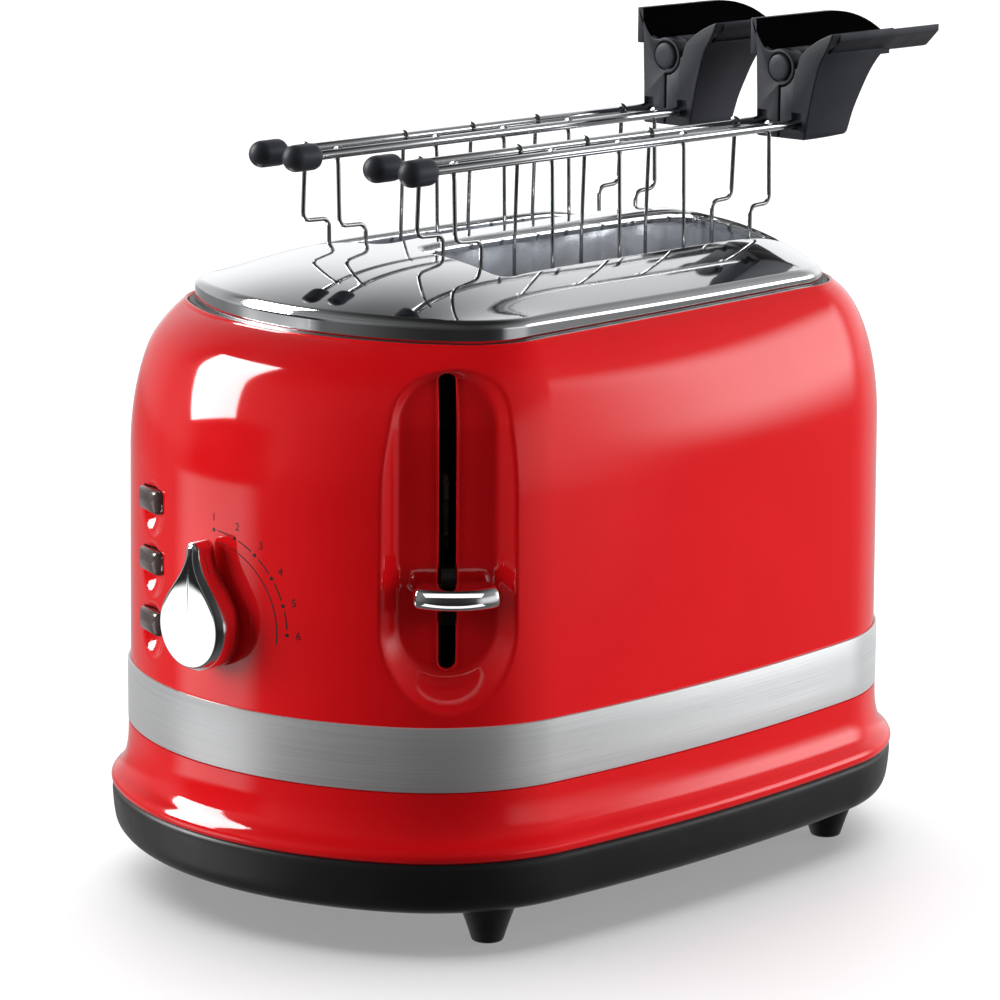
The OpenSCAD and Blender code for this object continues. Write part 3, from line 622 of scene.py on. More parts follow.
v, f = shell_mesh()
shell = make("body_shell_skin", v, f, RED, "body", ["body_shell"], angle=50)
boolean(shell, scratch(*prism(stadium(2.75, 88.0, 179.0), -26.0, -4.0, at_bay)))
for zc in BTN_Z:
    boolean(shell, scratch(*prism([(a, b + zc) for a, b in round_rect(16.7, 8.1, 1.9)], -9.0, 3.0, at_button)))
boolean(shell, scratch(*lathe([(5.4, -8), (5.4, 8)], 48, lambda x, y, h: (-2.8 + x, BY - 132.25 + h, 97.3 + y))))
finish_mesh(shell.data, True, 42)

lip = stadium(3.05, 87.7, 179.3, 16)
lip = [(3.05, z) for z in np.linspace(100, 176, 39)][:-1] + [q for q in lip if q[1] >= 176] + [(-3.05, z) for z in np.linspace(176, 100, 39)] + [q for q in lip if q[1] < 100]
lip = np.array([at_bay(t, z, float(bay_floor(z)) + 0.15) for t, z in lip])
v, f = sweep(lip, 0.42, 10, closed=True)
make("lever_slot_lip", v, f, RED, "body", angle=60)

# ------------------------------------------------------------------ top plate
PZ, CROWN, EDGE, ROLL, LIP = 186.5, 207.4, 6.0, 2.2, 2.6
PCOUNT = ((34, 16, 44),) * 4


def crown(x, y):
    """Height of the plate's dome; y is from the body's middle."""
    half = PLATE[1] - PLATE[2] + np.sqrt(PLATE[2] ** 2 - np.minimum(np.abs(x), PLATE[0]) ** 2)
    w = np.minimum(1, np.abs(y) / half)
    return PZ + EDGE + (CROWN - PZ - EDGE) * (1 - np.minimum(1, np.abs(x) / PLATE[0]) ** 2.4) * (1 - w ** np.where(np.asarray(y) < 0, 4.0, 8.0))


def crown_normal(x, y):
    e = 0.05
    gx = (crown(x + e, y) - crown(x - e, y)) / (2 * e)
    gy = (crown(x, y + e) - crown(x, y - e)) / (2 * e)
    n = np.stack([-gx, -gy, np.ones_like(gx)], -1)
    return n / np.linalg.norm(n, axis=1)[:, None]


def inset(d):
    return (PLATE[0] - d, PLATE[1] - d, PLATE[2] - d, 4000.0, min(PLATE[4] + 1.6 * d, 0.85 * (PLATE[0] - d)))


def loop_normal(o):
    """Outward unit normals of a closed plan loop that runs anticlockwise."""
    t = np.roll(o, -1, 0) - np.roll(o, 1, 0)
    n = np.stack([t[:, 1], -t[:, 0]], -1)
    return n / np.linalg.norm(n, axis=1)[:, None]


def slot_loop(cx, e):
    """Plan loop of a bread slot grown by e, anticlockwise, y from the body's middle."""
    w, l, r = 18.0 + e, 68.0 + e, 4.0 + e
    pts = []
    corners = ((w - r, l - r, 0), (-w + r, l - r, 90), (-w + r, -l + r, 180), (w - r, -l + r, 270))
    for k, (x, y, a0) in enumerate(corners):
        for i in range(11):
            a = math.radians(a0 + 9 * i)
            pts.append((x + r * math.cos(a), y + r * math.sin(a)))
        x2, y2, b0 = corners[(k + 1) % 4]
        b = math.radians(b0)
        p, q = np.array(pts[-1]), np.array((x2 + r * math.cos(b), y2 + r * math.sin(b)))
        m = 14 if k % 2 == 0 else 50
        pts += [tuple(p + (q - p) * i / m) for i in range(1, m)]
    o = np.array(pts)
    return o + (cx, -BY)


def inside(points, loop):
    x, y = points[:, 0], points[:, 1]
    hit = np.zeros(len(points), bool)
    for (x1, y1), (x2, y2) in zip(loop, np.roll(loop, -1, 0)):
        if y1 == y2:
            continue
        c = ((y1 > y) != (y2 > y)) & (x < (x2 - x1) * (y - y1) / (y2 - y1) + x1)
        hit ^= c
    return hit


def plate_mesh():
    V, N, F = [], [], []
    count = 0

    def add(points, normals):
        nonlocal count
        V.append(points)
        N.append(normals)
        count += len(points)
        return count - len(points)

    # rolled outer edge
    rings = []
    for z in (186.0, 186.5):
        o = outline(inset(0.0), PCOUNT)
        n = loop_normal(o)
        rings.append(add(np.column_stack([o, z - dip(o[:, 1])]), np.column_stack([n, np.zeros(len(o))])))
    for a in np.linspace(0, math.pi / 2, 13):
        o = outline(inset(ROLL * (1 - math.cos(a))), PCOUNT)
        n = loop_normal(o)
        h = crown(o[:, 0], o[:, 1]) - ROLL * (1 - math.sin(a))
        up = crown_normal(o[:, 0], o[:, 1]) if a > 0.6 else np.tile((0.0, 0.0, 1.0), (len(o), 1))
        k = np.column_stack([n * math.cos(a), np.zeros(len(o))]) + up * math.sin(a)
        rings.append(add(np.column_stack([o, h]), k / np.linalg.norm(k, axis=1)[:, None]))
    nc = len(o)
    for a, b in zip(rings, rings[1:]):
        i = np.arange(nc)
        j = (i + 1) % nc
        F += np.stack([a + i, a + j, b + j, b + i], -1).tolist()
    outer, outer_at = outline(inset(ROLL), PCOUNT), rings[-1]
    # slot lips and drawn walls
    loops = []
    for cx in (-25.3, 25.3):
        rs = []
        for a in np.linspace(0, math.pi / 2, 9):
            o = slot_loop(cx, LIP * (1 - math.sin(a)))
            n = loop_normal(o)
            h = crown(o[:, 0], o[:, 1]) - LIP * (1 - math.cos(a))
            k = np.column_stack([-n * math.sin(a), np.zeros(len(o))]) + crown_normal(o[:, 0], o[:, 1]) * math.cos(a)
            rs.append(add(np.column_stack([o, h]), k / np.linalg.norm(k, axis=1)[:, None]))
        top = V[-1][:, 2]
        for w in (0.5, 1.0, 1.4):
            rs.append(add(np.column_stack([o, top - w]), np.column_stack([-n, np.zeros(len(o))])))
        m = len(o)
        for a, b in zip(rs, rs[1:]):
            i = np.arange(m)
            j = (i + 1) % m
            F += np.stack([a + i, a + j, b + j, b + i], -1).tolist()
        loops.append((slot_loop(cx, LIP), rs[0]))
    # the dome between them
    xs, ys = np.meshgrid(np.arange(-66, 66.1, 2.75), np.arange(-101, 101.1, 2.75))
    g = np.stack([xs.ravel(), ys.ravel()], -1)
    keep = inside(g, outline(inset(ROLL + 1.3), PCOUNT))
    for cx in (-25.3, 25.3):
        keep &= ~inside(g, slot_loop(cx, LIP + 1.2))
    g = g[keep]
    pts = np.concatenate([outer, loops[0][0], loops[1][0], g])
    index = np.concatenate([outer_at + np.arange(nc), loops[0][1] + np.arange(m), loops[1][1] + np.arange(m), np.full(len(g), -1)])
    at = add(np.column_stack([g, crown(g[:, 0], g[:, 1])]), crown_normal(g[:, 0], g[:, 1]))
    index[nc + 2 * m:] = at + np.arange(len(g))
    edges = []
    start = 0
    for size in (nc, m, m):
        edges += [(start + i, start + (i + 1) % size) for i in range(size)]
        start += size
    out = delaunay_2d_cdt([Vector(p) for p in pts], edges, [], 0, 1e-6)
    vs, tris, orig = out[0], out[2], out[3]
    xy = np.array([(p.x, p.y) for p in vs])
    old = np.array([o[0] if o else -1 for o in orig])
    tris = np.array([t for t in tris if len(t) == 3])
    mid = xy[tris].mean(1)
    ok = inside(mid, outer) & ~inside(mid, loops[0][0]) & ~inside(mid, loops[1][0])
    tris = tris[ok]
    a, b, c = xy[tris[:, 0]], xy[tris[:, 1]], xy[tris[:, 2]]
    area = (b[:, 0] - a[:, 0]) * (c[:, 1] - a[:, 1]) - (b[:, 1] - a[:, 1]) * (c[:, 0] - a[:, 0])
    tris = np.where((area > 0)[:, None], tris, tris[:, ::-1])
    tris = tris[np.abs(area) > 1e-9]
    F += index[old[tris]].tolist()
    P, K = np.concatenate(V), np.concatenate(N)
    # underside, one sheet thickness in
    n0 = len(P)
    under = P - 0.9 * K
    F2 = [tuple(int(i) + n0 for i in f)[::-1] for f in F]
    rim_edges = []
    for first, size in ((rings[0], nc), (loops[0][1] + 11 * m, m), (loops[1][1] + 11 * m, m)):
        for i in range(size):
            p, q = first + i, first + (i + 1) % size
            rim_edges.append((q, p, p + n0, q + n0) if first == rings[0] else (p, q, q + n0, p + n0))
    P = np.concatenate([P, under])
    P[:, 1] += BY
    return P, F + F2 + rim_edges, np.concatenate([K, -K])


v, f, k = plate_mesh()
plate = make("top_plate_dome", v, f, CHROME, "body", ["top_plate"], angle=60)
plate.data.normals_split_custom_set_from_vertices([tuple(q) for q in k])


def gap_shade_mesh():
    """Dark strip that fills the gap between the plate and the rim: painted shade standing in for the shadow in that
    gap, not a real seal.
    """
    rows = []
    for d, h in ((0.12, 186.2), (0.12, 188.3), (0.5, 188.42), (1.5, 188.42), (1.95, 188.3), (1.95, 186.2)):
        o = outline(grow(PLATE, d), PCOUNT)
        rows.append(np.column_stack([o[:, 0], o[:, 1] + BY, h - dip(o[:, 1])]))
    return orient(np.concatenate(rows), [tuple(q) for q in grid(len(rows), len(o), wrap_rows=True)])


v, f = gap_shade_mesh()
# painted shade: a black strip in the rubber finish, put where the plate meets the rim to stand in for the shadow gap
make("plate_gap_painted_shade", v, f, RUBBER, "body", angle=50)


def liner_mesh(cx):
    """Thin folded sheet that lines a slot, a little crumpled."""
    rows = []
    base = slot_loop(cx, 1.0)
    n = loop_normal(base)
    top = crown(base[:, 0], base[:, 1]) - 2.7
    for w in np.linspace(0, 1, 19):
        z = top + (178.0 - top) * w
        wave = np.array([0.75 * rough(Vector((x * 0.085 + cx, y * 0.085, h * 0.1))) + 0.12 * rough(Vector((x * 0.27, y * 0.27 + cx, h * 0.27))) for (x, y), h in zip(base, z)])
        rows.append(np.column_stack([base + n * np.maximum(wave, -0.1)[:, None], z]))
    for e, w in ((1.55, 1.0), (1.6, 0.95), (1.6, 0.5), (1.6, 0.0)):
        o = slot_loop(cx, e)
        rows.append(np.column_stack([o, top + (178.0 - top) * w]))
    v = np.concatenate(rows)
    v[:, 1] += BY
    return orient(v, [tuple(q) for q in grid(len(rows), len(base), wrap_rows=True)])


LINERS = []
for t, cx in (("r", 25.3), ("l", -25.3)):
    v, f = liner_mesh(cx)
    LINERS.append(make("slot_liner_%s_sheet" % t, v, f, LINER, "body", ["slot_liner_%s" % t], angle=50))

# ------------------------------------------------------------------ trim band
def trim_mesh():
    prof = [(51.6, -0.93), (51.6, -0.22), (51.68, -0.08), (51.9, 0.0), (58.0, 0.02), (65.0, 0.02), (71.5, 0.0), (71.72, -0.08), (71.8, -0.22), (71.8, -0.93)]
    rows = [ring(grow(WALL, o), z) for z, o in prof]
    o = outline(WALL)
    s = np.concatenate([[0], np.cumsum(np.linalg.norm(np.diff(o, axis=0), axis=1))]) * 0.001
    uv = np.concatenate([np.column_stack([s, np.full(len(o), z * 0.001)]) for z, _ in prof])
    return np.concatenate(rows), grid(len(rows), len(o), wrap_rows=True), uv


v, f, k = trim_mesh()
TRIM = make("trim_band_brushed", v, f, BRUSHED, "body", ["trim_band"], angle=50, uv=k)

# ------------------------------------------------------------------ base and feet
def base_mesh():
    out = spline([(12.8, -4.0), (12.95, -2.2), (13.5, -0.5), (14.7, 1.6), (16.5, 3.2), (18.8, 4.2), (22.0, 4.8), (25.5, 5.15), (28.2, 5.3), (29.3, 5.2), (30.0, 4.85), (30.35, 4.4)], 36)
    rows = [ring(grow(WALL, o), z) for z, o in out]
    rows += [ring(grow(WALL, o), z) for z, o in ((30.35, 2.6), (29.6, 2.4), (23.0, 1.8), (19.0, 1.0), (16.6, -1.0), (15.8, -2.6))]
    nc = len(rows[0])
    v = np.concatenate(rows)
    f = [tuple(q) for q in grid(len(rows), nc)]
    f.append(tuple(range(nc))[::-1])
    f.append(tuple(range((len(rows) - 1) * nc, len(rows) * nc)))
    return v, f


def box(x0, y0, z0, x1, y1, z1):
    v = [(x, y, z) for z in (z0, z1) for x, y in ((x0, y0), (x1, y0), (x1, y1), (x0, y1))]
    return v, [(3, 2, 1, 0), (4, 5, 6, 7), (0, 1, 5, 4), (1, 2, 6, 5), (2, 3, 7, 6), (3, 0, 4, 7)]


v, f = base_mesh()
base = make("base_tub", v, f, BASE_BLACK, "body", ["base"], angle=40)
boolean(base, scratch(*box(-50, 60, 17, 50, 150, 28)))
GLAND = np.array((-66.0, 116.2 + BY, 22.5))
GA = math.radians(127)
GD, GS = np.array((math.cos(GA), math.sin(GA), 0)), np.array((-math.sin(GA), math.cos(GA), 0))


def at_gland(x, y, h):
    return tuple(GLAND + GD * h + GS * x + np.array((0, 0, y)))


boolean(base, scratch(*lathe([(5.0, -8), (5.0, 6)], 40, at_gland)))
for sx in (-40, 40):
    for sy in (BY - 80, BY + 80):
        boolean(base, scratch(*lathe([(3.6, -2), (3.6, 1.4), (1.75, 1.4), (1.75, 8)], 32, lambda x, y, h: (sx + x, sy + y, 12.8 + h))))
for px in (-63, 63):
    for py in (-74.75, 72.75):
        boolean(base, scratch(*lathe([(4, 14.8), (4, 25.6), (3.6, 26)], 32, lambda x, y, h: (px + x, py + y, h))), "UNION")
boolean(base, scratch(*box(-11, -117.65, 14.8, 11, -95.65, 34)), "UNION")
finish_mesh(base.data, True, 38)
FOOT = [(0, 0), (3.2, 0.0), (4.3, 0.06), (4.8, 0.3), (5.1, 0.75), (5.35, 1.5), (6.0, 3.6), (7.0, 6.6), (8.1, 9.6), (8.9, 11.6), (9.35, 12.3), (9.6, 12.8)]
for name, sx, sy in (("fr", 1, -1), ("fl", -1, -1), ("br", 1, 1), ("bl", -1, 1)):
    v, f = lathe(FOOT, 48, lambda x, y, h: (sx * 68.8 + x, BY + sy * 83 + y, h))
    make("foot_" + name + "_cone", v, f, RUBBER, "body", ["foot_" + name], angle=45)

# ------------------------------------------------------------------ browning knob
DX, DZ, FY = -2.8, 97.3, BY - 132.25


def at_dial(a, b, h):
    return (DX + a, FY - 0.9 - h, DZ + b)


def at_face(a, b, h):
    """The knob's face falls back a little towards its tip."""
    return at_dial(a, b, h - (0.006 * max(0.0, b - 10.0) ** 2 * min(1.0, (h - 7.0) / 1.5) if h > 7.0 else 0.0))


def knob_loop(r=14.0, rt=2.75, d=26.4):
    a = np.radians(np.linspace(-90, 30, 40))
    arc = np.stack([r * np.cos(a), r * np.sin(a)], -1)
    p0 = arc[-1]
    tan = np.array((-math.sin(a[-1]), math.cos(a[-1])))
    p3 = np.array((rt, d - rt))
    p1, p2 = p0 + 7.6 * tan, p3 + np.array((0.35, -7.0))
    t = np.linspace(0, 1, 26)[1:-1, None]
    bez = (1 - t) ** 3 * p0 + 3 * t * (1 - t) ** 2 * p1 + 3 * t * t * (1 - t) * p2 + t**3 * p3
    c = np.radians(np.linspace(0, 90, 14))
    tip = np.stack([rt * np.cos(c), d - rt + rt * np.sin(c)], -1)
    half = np.concatenate([arc, bez, tip])
    return np.concatenate([half, half[-2:0:-1] * (-1, 1)])


def domed(loop, profile, face, spine, place, under=None):
    """Solid from a plan loop: profile is (inset, height) up the side, then the face closes on to a spine with its own heights."""
    n = loop_normal(loop)
    rows = [np.column_stack([loop - n * i, np.full(len(loop), h)]) for i, h in profile]
    rim, top = rows[-1][:, :2], profile[-1][1]
    mid = np.array([spine(p) for p in rim])
    for k, h in face:
        rows.append(np.column_stack([mid + (rim - mid) * k, np.full(len(loop), top + h)]))
    v = np.concatenate(rows)
    m = len(loop)
    f = [tuple(q) for q in grid(len(rows), m)]
    f.append(tuple(range(m))[::-1])
    f.append(tuple(range((len(rows) - 1) * m, len(rows) * m)))
    return orient([place(*q) for q in v], f)


SIDE = [(0.55, 0.0), (0.2, 0.12), (0.0, 0.45), (0.0, 2.5), (0.03, 4.6), (0.08, 6.5), (0.16, 6.82), (0.34, 7.16), (0.66, 7.76), (1.0, 8.36), (1.22, 8.66), (1.44, 8.82), (1.7, 8.88)]
FACE = [(0.9, 0.02), (0.75, 0.05), (0.55, 0.08), (0.35, 0.10), (0.15, 0.11), (0.03, 0.112)]
v, f = domed(knob_loop(), SIDE, FACE, lambda p: np.array((0.0, np.clip(p[1], -3.0, 21.5))), at_face)
make("browning_knob_drop", v, f, CHROME, "knob", ["browning_knob"], angle=50)

# ------------------------------------------------------------------ lever tab
def chaikin(points, times):
    p = np.asarray(points, float)
    for _ in range(times):
        q = np.roll(p, -1, 0)
        p = np.stack([0.75 * p + 0.25 * q, 0.25 * p + 0.75 * q], 1).reshape(-1, 2)
    return p


def tab_loop():
    a = np.linspace(-math.asin(13.2 / 20), math.asin(13.2 / 20), 17)
    pts = [(-4.0, -8.0), (-2.6, -11.6), (0.0, -13.2)] + [(-8 + 20 * math.cos(t), 20 * math.sin(t)) for t in a] + [(0.0, 13.2), (-2.6, 11.6), (-4.0, 8.0)]
    return chaikin(pts, 3)


def at_tab(n, t, h):
    p = BAY + LN * n + LT * (t + 1.5)
    return (p[0], p[1], 112.5 + (2.1 * h if h > 0 else h))


edge = [(2.0 * (1 - math.cos(a)), 2.1 * math.sin(a)) for a in np.radians(np.linspace(-78, 78, 15))]
edge = [(3.4, -2.24), (2.4, -2.16)] + edge + [(2.4, 2.16), (3.4, 2.24)]
v, f = domed(tab_loop(), edge, [(0.7, 0.03), (0.4, 0.05), (0.1, 0.06)], lambda p: np.array((3.5, np.clip(p[1], -7.0, 7.0))), at_tab)
TAB = make("lever_tab_chrome", v, f, CHROME, "carriage", ["lever_tab"], angle=60)

# ------------------------------------------------------------------ push buttons
for name, zc in zip(("top", "mid", "low"), BTN_Z):
    loop = np.array(round_rect(16.0, 7.4, 2.0, 8))
    prof = [(0.3, -6.0), (0.0, -5.7), (0.0, 1.4), (0.05, 1.9), (0.2, 2.3), (0.5, 2.62), (0.95, 2.8)]
    v, f = domed(loop, prof, [(0.85, 0.07), (0.6, 0.14), (0.3, 0.18), (0.08, 0.19)], lambda p: np.array((np.clip(p[0], -5.2, 5.2), 0.0)),
                 lambda a, b, h: at_button(a, zc + b, h - 0.035 * a * a * (h > 1)))
    g, e = domed(np.array(round_rect(18.8, 10.4, 2.0, 6)), [(0.2, -6.8), (0.0, -6.6), (0.0, -6.1), (0.2, -5.9)], [(0.5, 0.0), (0.1, 0.0)], lambda p: np.array((np.clip(p[0], -5, 5), 0.0)),
                 lambda a, b, h: at_button(a, zc + b, h))
    v, f = join([(v, f), (g, e)])
    make("button_" + name + "_cap", v, f, SMOKY, "button_" + name, ["button_" + name], angle=45)

# ------------------------------------------------------------------ dial print
def at_wall(a, b, h):
    """A point on the front wall: a across and b up from the dial's middle, h outwards."""
    x, z = DX + a, DZ + b
    r = 109.3 + float(wall_off(z))
    return (x, BY - 22.95 - math.sqrt(r * r - x * x) - h, z)


def printed(loop, inner=None):
    """A thin raised print from a plan loop."""
    n = len(loop)
    v = [at_wall(a, b, 0.0) for a, b in loop] + [at_wall(a, b, 0.07) for a, b in loop]
    f = [tuple(range(n))[::-1], tuple(range(n, 2 * n))] + [(i, (i + 1) % n, n + (i + 1) % n, n + i) for i in range(n)]
    return orient(v, f)


def polar(r, deg):
    a = math.radians(90 - deg)
    return (r * math.cos(a), r * math.sin(a))


def arc_print(r, w0, w1, a0, a1, n=16):
    t = np.linspace(0, 1, n)
    out = [polar(r + (w0 + (w1 - w0) * k) / 2, a0 + (a1 - a0) * k) for k in t]
    back = [polar(r - (w0 + (w1 - w0) * k) / 2, a0 + (a1 - a0) * k) for k in t[::-1]]
    return printed(out + back)


marks = []
for i in range(6):
    c = polar(29.0, 18.0 * i)
    marks.append(printed([(c[0] + 0.62 * math.cos(t), c[1] + 0.62 * math.sin(t)) for t in np.linspace(0, 2 * math.pi, 21)[:-1]]))
    if i < 5:
        marks.append(arc_print(29.0, 0.34, 0.42, 18.0 * i + 3.4, 18.0 * i + 14.6))
marks.append(arc_print(25.4, 0.16, 0.44, 3.0, 98.0, 40))
v, f = join(marks)
make("dial_marks", v, f, INK, "body", angle=30)


def numeral(text, at, size):
    c = bpy.data.curves.new("numeral", "FONT")
    c.body = text
    c.size = size
    c.align_x, c.align_y = "CENTER", "CENTER"
    c.extrude = 0.02
    c.resolution_u = 6
    ob = link(bpy.data.objects.new("numeral", c))
    bpy.context.view_layer.update()
    me = bpy.data.meshes.new_from_object(ob.evaluated_get(bpy.context.evaluated_depsgraph_get()))
    pts = np.array([p.co for p in me.vertices])
    faces = [tuple(p.vertices) for p in me.polygons]
    bpy.data.objects.remove(ob)
    bpy.data.meshes.remove(me)
    bpy.data.curves.remove(c)
    return [at_wall(at[0] + p[0], at[1] + p[1], 0.035 + p[2] * 1.7) for p in pts], faces


v, f = join([numeral(str(i + 1), polar(32.9, 18.0 * i), 3.5) for i in range(6)])
make("dial_numbers", v, f, INK, "body", angle=30)
# ------------------------------------------------------------------ sandwich tongs
SLOT_X, TONG_Y, PIVOT_Z, RAIL_Z, RAIL_DX, RAIL_R, WIRE_R = 25.3, 87.2, 253.4, 235.1, 7.55, 1.5, 0.72


def circle(cx, cy, r, n=48, a0=0.0, a1=360.0):
    full = abs(a1 - a0 - 360.0) < 1e-6
    return [(cx + r * math.cos(math.radians(a)), cy + r * math.sin(math.radians(a))) for a in np.linspace(a0, a1, n, endpoint=not full)]


def anticlockwise(loop):
    p = np.asarray(loop, float)
    q = np.roll(p, -1, 0)
    return p if np.sum(p[:, 0] * q[:, 1] - q[:, 0] * p[:, 1]) > 0 else p[::-1]


def slab(loop, y0, y1, place, rim=0.5, rear=0.3):
    """An X-Z outline run along Y, with its front and rear rims rounded."""
    front = [(rim * (1 - math.sin(a)), y0 + rim * (1 - math.cos(a))) for a in np.linspace(0, math.pi / 2, 5)]
    back = [(rear * (1 - math.sin(a)), y1 - rear * (1 - math.cos(a))) for a in np.linspace(math.pi / 2, 0, 3)]
    return domed(anticlockwise(loop), front + back, [], lambda p: p, place)


A_SIDE = spline([(11.35, 230.6), (11.9, 234.0), (12.8, 239.0), (13.9, 244.0), (15.3, 249.7), (17.0, 255.2), (18.4, 257.8), (19.6, 259.7), (21.2, 262.7), (22.1, 264.6)], 30).tolist()
A_TOP = spline([(21.7, 266.0), (19.2, 265.0), (15.5, 263.2), (11.8, 260.8), (9.6, 258.9), (8.3, 257.2), (7.6, 255.4), (7.2, 253.4)], 22).tolist()
A_LOOP = [(0.35, 229.7), (10.5, 229.7), (11.1, 229.95)] + A_SIDE + [(22.35, 265.4), (22.35, 265.85), (22.1, 266.1)] + A_TOP + [(0.35, 253.4)]
B_SIDE = spline([(-9.9, 230.7), (-9.85, 236.0), (-9.9, 242.0), (-10.2, 250.0), (-10.45, 256.5), (-10.8, 261.3), (-11.6, 264.2), (-12.4, 266.2)], 26).tolist()
B_NOTCH = spline([(-12.1, 268.7), (-11.2, 267.3), (-9.6, 264.0), (-7.6, 260.9), (-6.3, 259.55), (-4.6, 258.95), (-3.0, 258.83)], 20).tolist()
B_LOOP = ([(-0.35, 247.3), (-0.35, 229.7), (-9.0, 229.7), (-9.6, 229.95)] + B_SIDE + [(-12.85, 267.6), (-12.85, 268.3), (-12.55, 268.7)] + B_NOTCH)
B_FRONT = B_LOOP + circle(0, PIVOT_Z, 6.2, 40, 118.0, -90.0)
GRIP_SIDE = ([(-4.0, 229.2), (20.6, 230.3), (21.7, 230.65), (22.4, 231.5)] + spline([(22.8, 233.4), (23.9, 238.4), (25.9, 244.4), (28.4, 251.0), (31.2, 256.4), (32.3, 258.6)], 14).tolist()
             + [(32.6, 259.6), (32.6, 275.0), (-4.0, 275.0)])
WING = [(0.0, 269.0)] + [(38.4 + 55 * math.sin(a), 214 + 55 * math.cos(a)) for a in np.linspace(0, math.asin(32.4 / 55), 22)] + [(71.3, 257.6), (70.6, 257.0), (24.0, 257.0), (0.0, 257.0)]


def soften(ob, width, angle=32.0):
    """Rounds the sharp edges that the cuts left."""
    m = ob.modifiers.new("soft", "BEVEL")
    m.width = width * 0.001
    m.segments = 2
    m.limit_method = "ANGLE"
    m.angle_limit = math.radians(angle)
    m.use_clamp_overlap = True
    me = bpy.data.meshes.new_from_object(ob.evaluated_get(bpy.context.evaluated_depsgraph_get()))
    ob.modifiers.remove(m)
    old = ob.data
    ob.data = me
    bpy.data.meshes.remove(old)


